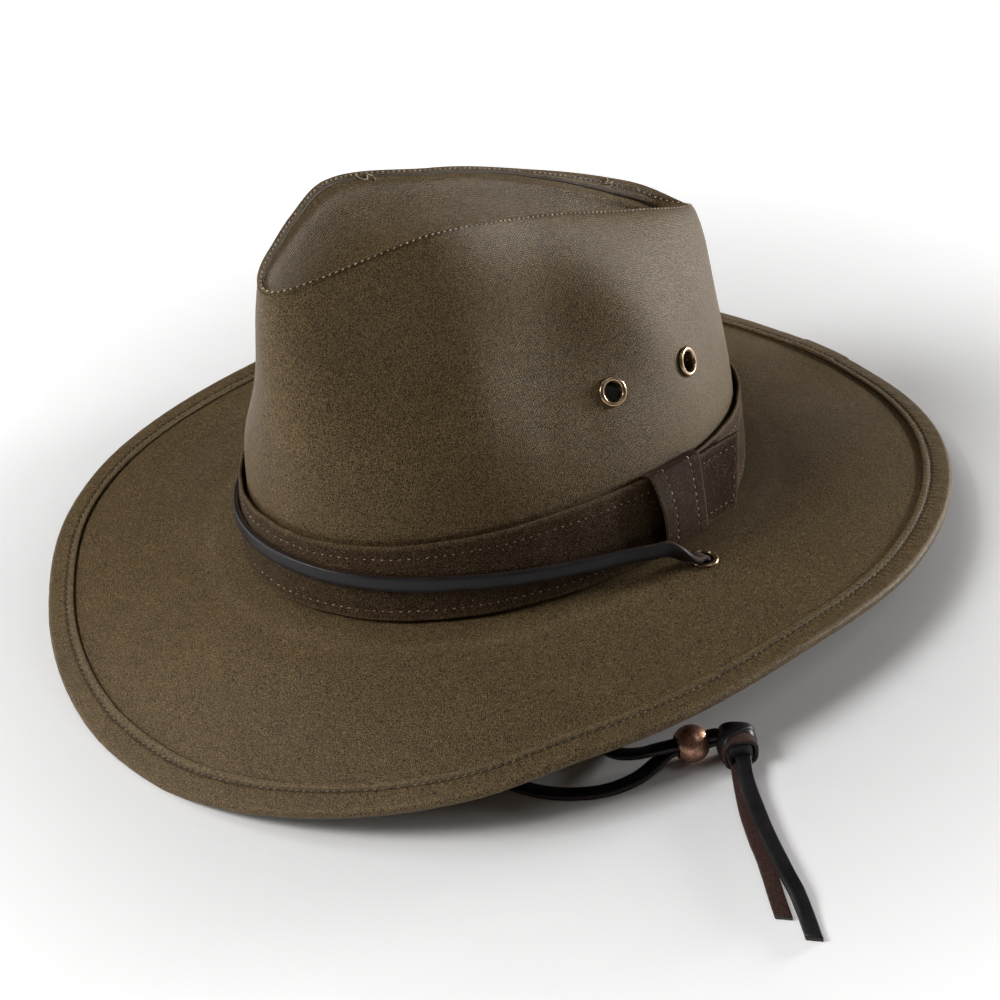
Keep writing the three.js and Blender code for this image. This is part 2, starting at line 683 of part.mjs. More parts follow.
// The held stretch of the lace, round the front of the band and down into both eyelets.
function heldLace() {
  const toHead = crown.matrixWorld.clone().invert();
  const half = (sign) => {
    const { point, up, out } = laceEyelet(sign);
    const eye = point.clone().applyMatrix4(toHead);
    const upHead = up.clone().transformDirection(toHead);
    const outHead = out.clone().transformDirection(toHead);
    const along = outHead.clone().cross(upHead).multiplyScalar(-sign);
    const face = BAND_OUT + BAND_WALL + GAP + LACE_THICKNESS / 2;
    const stations = [];
    const steps = 22;
    for (let i = 0; i <= steps; i += 1) {
      const share = (0.915 * i) / steps;
      const height = BAND_HEIGHT * readTable(HELD_LACE, 'share', 'height', share);
      const out2 = readTable(HELD_LACE, 'share', 'out', share);
      const distance = THREE.MathUtils.lerp(face, LACE_EYELET_REACH, out2);
      const angle = sign * share * LACE_EYELET_ANGLE;
      const lean = offWall(angle, height + 1, distance).sub(offWall(angle, height - 1, distance));
      stations.push({ point: offWall(angle, height, distance), width: lean.normalize() });
    }
    for (const { before, height, turn } of LACE_DIVE) {
      const centre = eye.clone().addScaledVector(along, -before).addScaledVector(upHead, height);
      const width = upHead.clone().multiplyScalar(1 - turn).addScaledVector(outHead, turn);
      stations.push({ point: centre, width });
    }
    return stations;
  };
  const right = half(-1).slice(1).reverse();
  for (const station of right) station.width.negate();
  const left = half(1);
  for (const station of right) {
    if (station.width.z < 0) station.width.negate();
  }
  return laceSweep([...right, ...left], -HEAD_HEIGHT);
}

// A free stretch of lace through points chosen by hand, flat on the surface.
function freeLace(points, firstWidth) {
  const curve = new THREE.CatmullRomCurve3(points, false, 'centripetal');
  const steps = Math.round(curve.getLength() / (2.6 * LACE_WIDTH));
  const stations = [];
  let width = firstWidth;
  const count = Math.max(steps, points.length);
  for (let i = 0; i <= count; i += 1) {
    const point = curve.getPointAt(i / count);
    const tangent = curve.getTangentAt(i / count);
    const flat = new THREE.Vector3(0, 0, 1).cross(tangent);
    if (flat.length() > 0.7) width = flat.dot(width) < 0 ? flat.negate() : flat;
    stations.push({ point, width: width.clone().normalize(), tangent });
  }
  return laceSweep(stations, 0);
}

function routePoints(rows) {
  return rows.map(([x, y, z]) => new THREE.Vector3(x, y, z));
}

function laceStrand(sign, route) {
  const { point, up, out } = laceEyelet(sign);
  const start = LACE_DIVE[LACE_DIVE.length - 1].height - 1.5 * GAP;
  const exit = point.clone().addScaledVector(up, start);
  const below = point.clone().addScaledVector(up, start - 4);
  return freeLace([exit, below, ...routePoints(route)], out);
}

function bead() {
  const radius = BEAD_DIAMETER / 2;
  const bore = BEAD_BORE / 2;
  const lip = Math.acos(bore / radius);
  const steps = 6;
  const profile = Array.from({ length: steps + 1 }, (_, i) => {
    const turn = -lip + (2 * lip * i) / steps;
    return [radius * Math.cos(turn), radius * Math.sin(turn)];
  });
  const ball = turnProfile(profile, BEAD_STEPS);
  const centre = new THREE.Vector3(...BEAD_CENTRE, radius);
  return setOn(ball, centre, new THREE.Vector3(...BEAD_AXIS, 0).normalize());
}

// A knot of both strands, drawn tight into a lump with blunt corners, in line with the tails.
function knot() {
  const lump = mergeVertices(new THREE.IcosahedronGeometry(1, 2).deleteAttribute('uv'));
  const position = lump.attributes.position;
  const corner = new THREE.Vector3();
  for (let i = 0; i < position.count; i += 1) {
    corner.fromBufferAttribute(position, i);
    corner.divideScalar((corner.x ** 4 + corner.y ** 4 + corner.z ** 4) ** 0.25);
    position.setXYZ(i, corner.x, corner.y, corner.z);
  }
  lump.scale(KNOT_WIDTH / 2, KNOT_WIDTH / 2, KNOT_HEIGHT / 2);
  lump.rotateZ(THREE.MathUtils.degToRad(KNOT_TURN));
  lump.computeBoundingBox();
  return lump.translate(...KNOT_CENTRE, -lump.boundingBox.min.z);
}

const vents = ventPlaces();
const ventCutters = vents.map(({ point, normal }) => setOn(holeCutter(CROWN_WALL), point, normal));
addMesh(crown, 'crown_side', cutHoles(sidePanel(), ventCutters), 'cloth');
addMesh(crown, 'crown_tip', tipPanel(), 'cloth');
addMesh(crown, 'hat_band', bandRing(), 'cloth');
addMesh(crown, 'band_tail', bandTail(), 'cloth');
addMesh(crown, 'band_keeper', keeperLoop(), 'cloth');
for (const { name, point, normal } of vents) {
  addMesh(crown, name, setOn(eyelet(CROWN_WALL), point, normal), 'brass');
}
addMesh(crown, 'lace_front', heldLace(), 'leather');

const laceHoles = [1, -1].map((sign) => {
  const { point, up } = laceEyelet(sign);
  return setOn(holeCutter(BRIM_WALL), point, up);
});
addMesh(hat, 'brim', cutHoles(brimSheet(), laceHoles), 'cloth');
addMesh(hat, 'brim_binding', bindingTape(), 'cloth');
for (const [side, sign] of [['left', 1], ['right', -1]]) {
  const { point, up } = laceEyelet(sign);
  addMesh(hat, `lace_eyelet_${side}`, setOn(eyelet(BRIM_WALL), point, up), 'brass');
}
addMesh(hat, 'lace_left', laceStrand(1, LEFT_ROUTE), 'leather');
addMesh(hat, 'lace_right', laceStrand(-1, RIGHT_ROUTE), 'leather');
addMesh(hat, 'lace_bead', bead(), 'bead');
addMesh(hat, 'lace_knot', knot(), 'leather');
const tailWidth = new THREE.Vector3(0.5, 0.85, 0);
addMesh(hat, 'lace_tail_long', freeLace(routePoints(LONG_TAIL), tailWidth), 'leather');
addMesh(hat, 'lace_tail_short', freeLace(routePoints(SHORT_TAIL), tailWidth), 'leather');

export default hat;
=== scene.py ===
"""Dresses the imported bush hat: waxed cloth, leather lace, metal rings, stitches, floor and light.

Sizes are millimetres in the hat's own frame and become metres when a mesh is made. Angles run
round the hat in degrees, from the front towards the wearer's left.
"""

import logging
import math
from dataclasses import dataclass
from enum import Enum

import bpy
import numpy as np
from mathutils import Matrix, Vector


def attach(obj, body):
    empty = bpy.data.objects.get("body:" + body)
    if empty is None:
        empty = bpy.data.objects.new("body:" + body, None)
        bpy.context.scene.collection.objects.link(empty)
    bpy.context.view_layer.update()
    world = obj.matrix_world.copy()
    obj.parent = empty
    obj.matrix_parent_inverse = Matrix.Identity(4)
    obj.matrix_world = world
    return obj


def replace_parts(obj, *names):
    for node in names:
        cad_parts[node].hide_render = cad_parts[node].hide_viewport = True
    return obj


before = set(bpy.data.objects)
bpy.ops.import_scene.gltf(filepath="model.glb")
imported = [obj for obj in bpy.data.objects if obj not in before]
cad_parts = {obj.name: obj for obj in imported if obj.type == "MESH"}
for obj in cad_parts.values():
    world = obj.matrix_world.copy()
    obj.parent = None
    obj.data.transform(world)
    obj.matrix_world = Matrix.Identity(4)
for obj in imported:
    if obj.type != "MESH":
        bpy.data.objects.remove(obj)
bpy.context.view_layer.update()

MM = 0.001
BODY = "root"
GAP = 0.3
EDGE = 2
LOG = logging.getLogger("bush_hat")

Array = np.ndarray
Colour = tuple[float, float, float]


class Side(Enum):
    """The wearer's side on which a paired piece sits."""

    LEFT = 1
    RIGHT = -1


class Face(Enum):
    """Which face of the lace looks up or outwards."""

    GRAIN = 0
    FLESH = 1


@dataclass(frozen=True)
class Sewing:
    """Sizes of a row of stitches: slant is a share of the length, and lift is off the cloth."""

    pitch: float
    length: float
    width: float
    slant: float = 0.0
    lift: float = 0.0


# Numbers and surfaces


def unit(vectors: Array) -> Array:
    """Each vector divided by its length.

    Args:
        vectors: Array of vectors, the last axis being x, y, z.

    Returns:
        Vectors of length one in the same layout.
    """
    length = np.linalg.norm(vectors, axis=-1, keepdims=True)
    return vectors / np.maximum(length, 1e-12)


def mix(a: Array, b: Array, share: Array) -> Array:
    """The point at a share of the way from a to b."""
    return a + (b - a) * share


def bump(x: Array, middle: float, spread: float) -> Array:
    """A bell: e to the minus squared distance from its middle, in spreads."""
    return np.exp(-(((x - middle) / spread) ** 2))


def smooth_step(x: Array, low: float, high: float) -> Array:
    """Climbs from 0 at low to 1 at high, level at both ends."""
    t = np.clip((x - low) / (high - low), 0.0, 1.0)
    return t * t * (3 - 2 * t)


def read_table(keys: Array, values: Array, place: Array) -> Array:
    """Reads a table between its rows on a cubic that never overshoots a row.

    The slope at a row is the harmonic mean of the climbs on both sides, or 0 at a turn and at
    both ends of the table.

    Args:
        keys: Rising places of the rows.
        values: Value of each row.
        place: Places to read.

    Returns:
        The value at each place.
    """
    place = np.clip(place, keys[0], keys[-1])
    row = np.clip(np.searchsorted(keys, place, side="left"), 1, len(keys) - 1)
    climb = np.diff(values) / np.diff(keys)
    slope = np.zeros(len(keys))
    product = climb[:-1] * climb[1:]
    total = np.where(product > 0, climb[:-1] + climb[1:], 1.0)
    slope[1:-1] = np.where(product > 0, 2 * product / total, 0.0)
    span = keys[row] - keys[row - 1]
    t = (place - keys[row - 1]) / span
    bend = t * (1 - t) * span * ((1 - t) * slope[row - 1] - t * slope[row])
    return values[row - 1] + (values[row] - values[row - 1]) * t * t * (3 - 2 * t) + bend


def smooth_route(points: Array, count: int) -> Array:
    """Even steps along the centripetal Catmull-Rom curve through points.

    Each span's slopes are those of the curve whose knots lie apart by the square root of the
    distance between points. The curve is sampled finely and then stepped by its length.

    Args:
        points: Points to pass, at least two.
        count: Number of steps.

    Returns:
        count + 1 points at even lengths along the curve.
    """
    padded = np.vstack([2 * points[0] - points[1], points, 2 * points[-1] - points[-2]])
    knot = np.sqrt(np.linalg.norm(np.diff(padded, axis=0), axis=1))[:, None]
    before, here, after = knot[:-2], knot[1:-1], knot[2:]
    p0, p1, p2, p3 = padded[:-3], padded[1:-2], padded[2:-1], padded[3:]
    start = (p1 - p0) / before - (p2 - p0) / (before + here) + (p2 - p1) / here
    end = (p2 - p1) / here - (p3 - p1) / (here + after) + (p3 - p2) / after
    start, end = start * here, end * here
    t = np.linspace(0, 1, 60, endpoint=False)[None, :, None]
    a, b = p1[:, None], p2[:, None]
    c, d = start[:, None], end[:, None]
    fine = (
        a * (2 * t**3 - 3 * t**2 + 1)
        + b * (3 * t**2 - 2 * t**3)
        + c * (t**3 - 2 * t**2 + t)
        + d * (t**3 - t**2)
    ).reshape(-1, 3)
    fine = np.vstack([fine, points[-1]])
    return even_steps(fine, count)


def lengths_along(points: Array) -> Array:
    """Length of a path up to each of its points."""
    steps = np.linalg.norm(np.diff(points, axis=0), axis=1)
    return np.concatenate([[0.0], np.cumsum(steps)])


def even_steps(points: Array, count: int, *more: Array) -> Array | tuple[Array, ...]:
    """Points at even lengths along a path, by straight interpolation.

    Args:
        points: The path.
        count: Number of steps.
        more: Further arrays, one row per point of the path, read at the same places.

    Returns:
        count + 1 points, and the further arrays' rows after them where there are any.
    """
    along = lengths_along(points)
    at = np.linspace(0, along[-1], count + 1)
    read = [
        np.stack([np.interp(at, along, a[:, k]) for k in range(a.shape[1])], axis=1)
        for a in (points, *more)
    ]
    return tuple(read) if more else read[0]


def grid_normals(points: Array, closed: bool, towards: Array) -> Array:
    """Normals of a surface given as a grid of points.

    A normal is the cross product of the differences along the two grid directions, turned so
    that it points the way that towards does on the whole.

    Args:
        points: Grid of points, rows by columns by 3.
        closed: Whether the last row is followed by the first one.
        towards: Directions, or one direction, that the normals should lean to.

    Returns:
        A unit normal for each point.
    """
    if closed:
        across = np.roll(points, -1, axis=0) - np.roll(points, 1, axis=0)
    else:
        across = np.gradient(points, axis=0)
    normal = unit(np.cross(across, np.gradient(points, axis=1)))
    return normal if np.sum(normal * towards) > 0 else -normal


def levelled(face: Array, near: Array, rounds: int) -> Array:
    """Rounds a face across its columns.

    In each round a point moves towards half itself and a quarter of both its neighbours.

    Args:
        face: Grid of points, rows by columns by numbers.
        near: Share of the move for each column but the first and the last.
        rounds: Number of rounds.

    Returns:
        The face, with its first and last columns as they were.
    """
    for _ in range(rounds):
        level = (face[:, :-2] + 2 * face[:, 1:-1] + face[:, 2:]) / 4
        face[:, 1:-1] = mix(face[:, 1:-1], level, near[None, :, None])
    return face


def walled(face: Array, normal: Array, wall: float) -> Array:
    """Outlines of a cloth wall: its face, a half-round edge, its back and the other edge.

    The back lies one wall inside the face along the normals. The edges are half circles of the
    wall's width, four points each, split so that a point and its mirror pair across the wall.
    EDGE points of the first half circle come before the face.

    Args:
        face: Grid of points on the outer face, one row per outline.
        normal: Unit normal of each point.
        wall: Thickness.

    Returns:
        Closed outlines, rows by outline points by 3.
    """
    back = face - normal * wall
    turns = np.radians([36, 72, 108, 144])[None, :, None]

    def edge(at: int, inner: int) -> Array:
        """The half circle at one end, from the face to the back."""
        middle = (face[:, at] + back[:, at])[:, None] / 2
        out = unit(face[:, at] - face[:, inner])[:, None]
        up = normal[:, at][:, None]
        return middle + (np.cos(turns) * up + np.sin(turns) * out) * wall / 2

    first, last = edge(0, 1), edge(-1, -2)
    return np.concatenate([first[:, 1::-1], face, last, back[:, ::-1], first[:, :1:-1]], axis=1)


def to_length(outlines: Array) -> Array:
    """Mean length round an outline up to each of its points, and once round, in metres."""
    ring = np.concatenate([outlines, outlines[:, :1]], axis=1)
    steps = np.linalg.norm(np.diff(ring, axis=1), axis=2).mean(axis=0)
    return np.concatenate([[0.0], np.cumsum(steps)]) * MM


@dataclass
class MeshParts:
    """Points and faces in millimetres, and what the material reads of them."""

    points: Array
    quads: Array
    tris: Array
    uvs: Array | None = None
    marks: dict[str, Array] | None = None

    def joined(self, other: "MeshParts") -> "MeshParts":
        """Both meshes as one, without texture coordinates."""
        shift = len(self.points)
        marks = {
            key: np.concatenate([value, other.marks[key]])
            for key, value in (self.marks or {}).items()
            if other.marks and key in other.marks
        }
        return MeshParts(
            np.vstack([self.points, other.points]),
            np.vstack([self.quads, other.quads + shift]),
            np.vstack([self.tris, other.tris + shift]),
            None,
            marks,
        )

    def make(self, name: str, material: bpy.types.Material, slot: str) -> bpy.types.Object:
        """Puts the mesh into the scene as a piece that rides on the hat.

        Args:
            name: The piece's name.
            material: Its finish.
            slot: The record's material slot of the piece; not used.

        Returns:
            The new object, at the origin.
        """
        mesh = bpy.data.meshes.new(name)
        corners = np.concatenate([self.quads.ravel(), self.tris.ravel()]).astype(np.int32)
        sizes = np.concatenate([np.full(len(self.quads), 4), np.full(len(self.tris), 3)])
        starts = np.concatenate([[0], np.cumsum(sizes)[:-1]]).astype(np.int32)
        mesh.vertices.add(len(self.points))
        mesh.vertices.foreach_set("co", (self.points * MM).astype(np.float32).ravel())
        mesh.loops.add(len(corners))
        mesh.loops.foreach_set("vertex_index", corners)
        mesh.polygons.add(len(sizes))
        mesh.polygons.foreach_set("loop_start", starts)
        mesh.polygons.foreach_set("use_smooth", np.ones(len(sizes), bool))
        mesh.update(calc_edges=True)
        if self.uvs is not None:
            layer = mesh.uv_layers.new(name="cloth")
            layer.data.foreach_set("uv", self.uvs.astype(np.float32).ravel())
        for key, values in (self.marks or {}).items():
            mark = mesh.attributes.new(key, "FLOAT", "POINT")
            mark.data.foreach_set("value", np.asarray(values, np.float32).ravel())
        mesh.materials.append(material)
        piece = bpy.data.objects.new(name, mesh)
        bpy.context.scene.collection.objects.link(piece)
        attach(piece, BODY)
        LOG.info("%s: %d faces", name, len(mesh.polygons))
        return piece


def signed_volume(points: Array, quads: Array) -> float:
    """Sum of the signed pyramids from the origin to each half of each quad."""
    a, b, c, d = (points[quads[:, k]] for k in range(4))
    first = np.einsum("ij,ij->i", a, np.cross(b, c))
    second = np.einsum("ij,ij->i", a, np.cross(c, d))
    return float((first + second).sum() / 6)


def loft(outlines: Array, closed: bool, marks: dict[str, Array] | None = None) -> MeshParts:
    """Joins closed outlines of one length into a closed shell.

    Point j of outline i meets its neighbours in both directions, round the outline and along
    the row. Where the row is open, both ends are closed by strips between each point and the
    one opposite to it.

    Args:
        outlines: Rows by outline points by 3.
        closed: Whether the last outline joins the first.
        marks: Values for each point, by name.

    Returns:
        The shell with its faces outwards and texture coordinates in metres.
    """
    count, size = outlines.shape[:2]
    rows = np.arange(count if closed else count - 1)[:, None]
    cols = np.arange(size)[None, :]
    nexts = (rows + 1) % count
    turned = (cols + 1) % size
    quads = np.stack(
        [rows * size + cols, rows * size + turned, nexts * size + turned, nexts * size + cols],
        axis=-1,
    ).reshape(-1, 4)
    across = to_length(outlines)
    line = outlines[:, size // 4]
    steps = np.linalg.norm(np.diff(line, axis=0, append=line[:1]), axis=1) * MM
    along = np.concatenate([[0.0], np.cumsum(steps)])
    grid = np.ones((len(rows), size))
    uvs = np.stack(
        [
            np.stack([along[rows] * grid, across[cols] * grid], -1),
            np.stack([along[rows] * grid, across[cols + 1] * grid], -1),
            np.stack([along[rows + 1] * grid, across[cols + 1] * grid], -1),
            np.stack([along[rows + 1] * grid, across[cols] * grid], -1),
        ],
        axis=2,
    ).reshape(-1, 4, 2)
    if not closed:
        j = np.arange(size // 2 - 1)
        near = np.stack([j, size - 1 - j, size - 2 - j, j + 1], axis=1)
        far = near[:, ::-1] + (count - 1) * size
        quads = np.vstack([quads, near, far])
        end = np.stack([np.zeros(size + 1), across], axis=1)
        cap = end[np.stack([j, size - 1 - j, size - 2 - j, j + 1], axis=1)]
        uvs = np.vstack([uvs, cap, cap[:, ::-1]])
    points = outlines.reshape(-1, 3)
    if signed_volume(points, quads) < 0:
        quads, uvs = quads[:, ::-1], uvs[:, ::-1]
    kept = {k: np.asarray(v).reshape(-1) for k, v in (marks or {}).items()}
    return MeshParts(points, quads, np.zeros((0, 3), int), uvs.reshape(-1, 2), kept)


def cloth_shell(
    face: Array, normal: Array, wall: float, closed: bool, wear_and_highlight: Array, edge_wear: float = 0.0
) -> MeshParts:
    """A cloth wall under a face, with its mark of worn cloth and painted highlight.

    Args:
        face: Grid of points on the outer face, one row per outline.
        normal: Unit normal of each point.
        wall: Thickness.
        closed: Whether the last outline joins the first.
        wear_and_highlight: How pale each point of the face is, by worn cloth and painted highlight.
        edge_wear: How worn the edge after the face's last column is.

    Returns:
        The shell.
    """
    outlines = walled(face, normal, wall)
    mark = np.zeros(outlines.shape[:2])
    end = EDGE + face.shape[1]
    mark[:, EDGE:end] = wear_and_highlight
    mark[:, end : end + 4] = edge_wear
    return loft(outlines, closed, {"wear_and_highlight": mark})


def lathe(profile: Array, steps: int) -> MeshParts:
    """Turns a closed profile of radius and height about the Z axis."""
    turn = np.linspace(0, 2 * np.pi, steps, endpoint=False)[:, None]
    radius, height = profile[None, :, 0], profile[None, :, 1]
    rings = np.stack(
        [radius * np.cos(turn), radius * np.sin(turn), height + 0 * turn], axis=-1
    )
    return loft(rings, True)


def set_on(parts: MeshParts, place: Array, axis: Array) -> MeshParts:
    """Moves a mesh from the origin to a place, with its Z axis along a direction."""
    turn = Vector((0, 0, 1)).rotation_difference(Vector(axis.tolist())).to_matrix()
    parts.points = parts.points @ np.array(turn).T + place
    return parts


def stitches(path: Array, normal: Array, sewing: Sewing) -> MeshParts:
    """A row of sewn stitches along a path.

    Each stitch is a bean: a round profile carried along a short line whose ends dip into the
    cloth by the square of the distance from its middle.

    Args:
        path: Points of the seam line on the cloth.
        normal: Unit normal of the cloth at each point.
        sewing: Sizes of the row.

    Returns:
        All the stitches as one mesh.
    """
    length, width = sewing.length, sewing.width
    path = path + sewing.lift * normal
    count = max(1, round(lengths_along(path)[-1] / sewing.pitch))
    points, normals = even_steps(path, 2 * count, normal)
    centre, normals = points[1::2], unit(normals[1::2])
    along = unit(points[2::2] - points[:-1:2])
    side = np.cross(normals, along)
    along = unit(along + side * sewing.slant)
    side = np.cross(normals, along)
    x = np.array([-0.86, -0.35, 0.35, 0.86])
    radius = np.array([0.6, 1.0, 1.0, 0.6])
    dive, proud, sides = 1.1 * width, 0.3 * width, 6
    turn = np.linspace(0, 2 * np.pi, sides, endpoint=False)
    ring_x = np.repeat(x, sides)
    ring_y = (radius[:, None] * np.cos(turn)).ravel()
    ring_z = (radius[:, None] * np.sin(turn)).ravel()
    x = np.concatenate([ring_x, [-1.0, 1.0]]) * length / 2
    y = np.concatenate([ring_y, [0.0, 0.0]]) * width / 2
    z = np.concatenate([ring_z, [0.0, 0.0]]) * width / 2 - dive * (2 * x / length) ** 2 + proud
    points = (
        centre[:, None]
        + x[None, :, None] * along[:, None]
        + y[None, :, None] * side[:, None]
        + z[None, :, None] * normals[:, None]
    )
    rings = len(radius)
    j = np.arange(sides)
    k = (j + 1) % sides
    starts = sides * np.arange(rings)
    quads = np.vstack([np.stack([r + j, r + k, r + sides + k, r + sides + j], 1) for r in starts[:-1]])
    first, last = np.full(sides, sides * rings), np.full(sides, sides * rings + 1)
    tris = np.vstack([np.stack([k, j, first], 1), np.stack([starts[-1] + j, starts[-1] + k, last], 1)])
    shift = (np.arange(count) * (sides * rings + 2))[:, None, None]
    flip = signed_volume(points[0], quads) < 0
    quads = (quads[None] + shift).reshape(-1, 4)
    tris = (tris[None] + shift).reshape(-1, 3)
    if flip:
        quads, tris = quads[:, ::-1], tris[:, ::-1]
    return MeshParts(points.reshape(-1, 3), quads, tris)


# Finishes


class NodeSheet:
    """The nodes of one material, with short ways to add and join them."""

    def __init__(self, name: str) -> None:
        """Starts a material with a shader and nothing else."""
        self.material = bpy.data.materials.new(name)
        self.material.use_nodes = True
        self.tree = self.material.node_tree
        self.tree.nodes.clear()
        self.shader = self.add("ShaderNodeBsdfPrincipled")
        output = self.add("ShaderNodeOutputMaterial")
        self.link(self.shader.outputs["BSDF"], output.inputs["Surface"])
        self.place = self.add("ShaderNodeTexCoord").outputs

    def add(self, kind: str, **settings: object) -> bpy.types.Node:
        """Adds a node.

        Args:
            kind: The node's type.
            settings: Input values by the input's name, with _ for a space, or properties.

        Returns:
            The node.
        """
        node = self.tree.nodes.new(kind)
        for key, value in settings.items():
            name = key.replace("_", " ")
            if name in node.inputs:
                node.inputs[name].default_value = value
            else:
                setattr(node, key, value)
        return node

    def link(self, source: bpy.types.NodeSocket, target: bpy.types.NodeSocket) -> None:
        """Joins an output to an input."""
        self.tree.links.new(source, target)

    def noise(self, scale: float, detail: float, rough: float = 0.5) -> bpy.types.NodeSocket:
        """Noise on the mesh's own coordinates, scale in cells per metre."""
        node = self.add("ShaderNodeTexNoise", Scale=scale, Detail=detail, Roughness=rough)
        self.link(self.place["Object"], node.inputs["Vector"])
        return node.outputs["Fac"]

    def threads(self, pitch: float, direction: str, wobble: float) -> bpy.types.NodeSocket:
        """Parallel ridges on the piece's own texture coordinates, pitch in metres."""
        node = self.add(
            "ShaderNodeTexWave",
            bands_direction=direction,
            Scale=math.pi / 10 / pitch,
            Distortion=wobble,
            Detail=1.5,
            Detail_Scale=1.2,
        )
        self.link(self.place["UV"], node.inputs["Vector"])
        return node.outputs["Fac"]

    def mark(self, name: str) -> bpy.types.NodeSocket:
        """A value stored on the mesh's points."""
        return self.add("ShaderNodeAttribute", attribute_name=name).outputs["Fac"]

    def spread(
        self, value: bpy.types.NodeSocket, low: float, high: float, to: tuple[float, float] = (0, 1)
    ) -> bpy.types.NodeSocket:
        """Maps low..high of a value onto a range, clamped."""
        node = self.add("ShaderNodeMapRange", clamp=True)
        for index, number in enumerate((low, high, to[0], to[1])):
            node.inputs[index + 1].default_value = number
        self.link(value, node.inputs["Value"])
        return node.outputs["Result"]

    def math(self, how: str, a: bpy.types.NodeSocket, b: object) -> bpy.types.NodeSocket:
        """One sum on two values, the second a socket or a number."""
        node = self.add("ShaderNodeMath", operation=how)
        self.link(a, node.inputs[0])
        if isinstance(b, (int, float)):
            node.inputs[1].default_value = b
        else:
            self.link(b, node.inputs[1])
        return node.outputs[0]

    def blend(self, share: bpy.types.NodeSocket, a: object, b: object) -> bpy.types.NodeSocket:
        """Mixes two colours, each a colour or a socket, by a share."""
        node = self.add("ShaderNodeMix", data_type="RGBA")
        for socket, colour in ((node.inputs[6], a), (node.inputs[7], b)):
            if isinstance(colour, tuple):
                socket.default_value = (*colour, 1.0)
            else:
                self.link(colour, socket)
        self.link(share, node.inputs[0])
        return node.outputs[2]

    def scaled(self, colour: bpy.types.NodeSocket, by: bpy.types.NodeSocket) -> object:
        """A colour made darker or lighter by a factor."""
        node = self.add("ShaderNodeVectorMath", operation="SCALE")
        self.link(colour, node.inputs[0])
        self.link(by, node.inputs["Scale"])
        return node.outputs[0]

    def relief(
        self, height: bpy.types.NodeSocket, strength: float, depth: float, under: object = None
    ) -> bpy.types.NodeSocket:
        """A bump of a depth in metres, on top of another bump where one is given."""
        node = self.add("ShaderNodeBump", Strength=strength, Distance=depth)
        self.link(height, node.inputs["Height"])
        if under is not None:
            self.link(under, node.inputs["Normal"])
        return node.outputs["Normal"]

    def finish(self, **sockets: object) -> bpy.types.Material:
        """Joins sockets and sets plain values on the shader, by input name with _ for a space."""
        for key, value in sockets.items():
            target = self.shader.inputs[key.replace("_", " ")]
            if isinstance(value, bpy.types.NodeSocket):
                self.link(value, target)
            else:
                target.default_value = (*value, 1.0) if isinstance(value, tuple) else value
        return self.material


@dataclass(frozen=True)
class WaxedCloth:
    """Close-woven cotton with a dull wax finish, grained light and dark, paler where worn and where a
    highlight is painted, near black where shade is painted along seams.

    Grain, speck, blotch and cloud are cells per metre, and pitch is metres from thread to thread.
    """

    name: str
    slot: str
    deep: Colour = (0.024, 0.0125, 0.0075)
    pale: Colour = (0.17, 0.117, 0.05)
    fleck: Colour = (0.3, 0.23, 0.13)
    # Paler cloth where worn, also used for a painted highlight on the crown's crest and the tip's
    # edges.
    rubbed_and_highlight: Colour = (0.19, 0.135, 0.07)
    # Near black: painted shade in seam grooves, on the hem's edge and under stitches.
    seam: Colour = (0.008, 0.004, 0.0025)
    grain: float = 2300.0
    speck: float = 1500.0
    blotch: float = 700.0
    cloud: float = 38.0
    pitch: float = 0.00062
    roughness: float = 0.44
    gloss: float = 0.24

    def build(self) -> bpy.types.Material:
        """Makes the material: dark and pale grain, thread gaps, flecks, worn cloth with painted
        highlight, and painted shade along seams.
        """
        sheet = NodeSheet(self.name)
        warp = sheet.threads(self.pitch, "X", 2.2)
        weft = sheet.threads(self.pitch * 1.08, "Y", 2.2)
        weave = sheet.math("MULTIPLY", sheet.math("ADD", warp, weft), 0.5)
        grain = sheet.noise(self.grain, 1.0, 0.5)
        blotch = sheet.noise(self.blotch, 2.0, 0.6)
        cloudy = sheet.noise(self.cloud, 5.0, 0.62)
        colour = sheet.blend(sheet.spread(grain, 0.38, 0.62), self.deep, self.pale)
        # Paler by the mark: worn cloth, and on the crown's crest and the tip's edges a painted
        # highlight.
        worn = sheet.math("MULTIPLY", sheet.mark("wear_and_highlight"), sheet.spread(grain, 0.3, 0.6))
        colour = sheet.blend(sheet.spread(worn, 0.0, 1.0, (0.0, 0.8)), colour, self.rubbed_and_highlight)
        colour = sheet.scaled(colour, sheet.spread(cloudy, 0.35, 0.66, (1.06, 0.92)))
        colour = sheet.scaled(colour, sheet.spread(blotch, 0.36, 0.64, (0.85, 1.15)))
        colour = sheet.scaled(colour, sheet.spread(weave, 0.2, 0.8, (0.85, 1.12)))
        specks = sheet.spread(sheet.noise(self.speck, 1.0, 0.5), 0.67, 0.76, (0.0, 0.7))
        colour = sheet.blend(specks, colour, self.fleck)
        # Painted shade: the seam mark takes the cloth towards near black.
        sewn = sheet.spread(sheet.mark("seam"), 0.0, 1.0, (0.0, 0.95))
        colour = sheet.blend(sewn, colour, self.seam)
        height = sheet.math("ADD", sheet.math("MULTIPLY", weave, 0.6), grain)
        relief = sheet.relief(sheet.noise(160, 3.0), 0.3, 0.0004)
        relief = sheet.relief(height, 0.55, 0.0003, relief)
        return sheet.finish(
            Base_Color=colour,
            Roughness=sheet.spread(grain, 0.3, 0.7, (self.roughness - 0.06, self.roughness + 0.1)),
            Normal=relief,
            Sheen_Weight=0.03,
            Sheen_Roughness=0.5,
            Sheen_Tint=(1.0, 0.85, 0.68),
            Specular_IOR_Level=self.gloss,
            Specular_Tint=(1.0, 0.86, 0.7),
        )


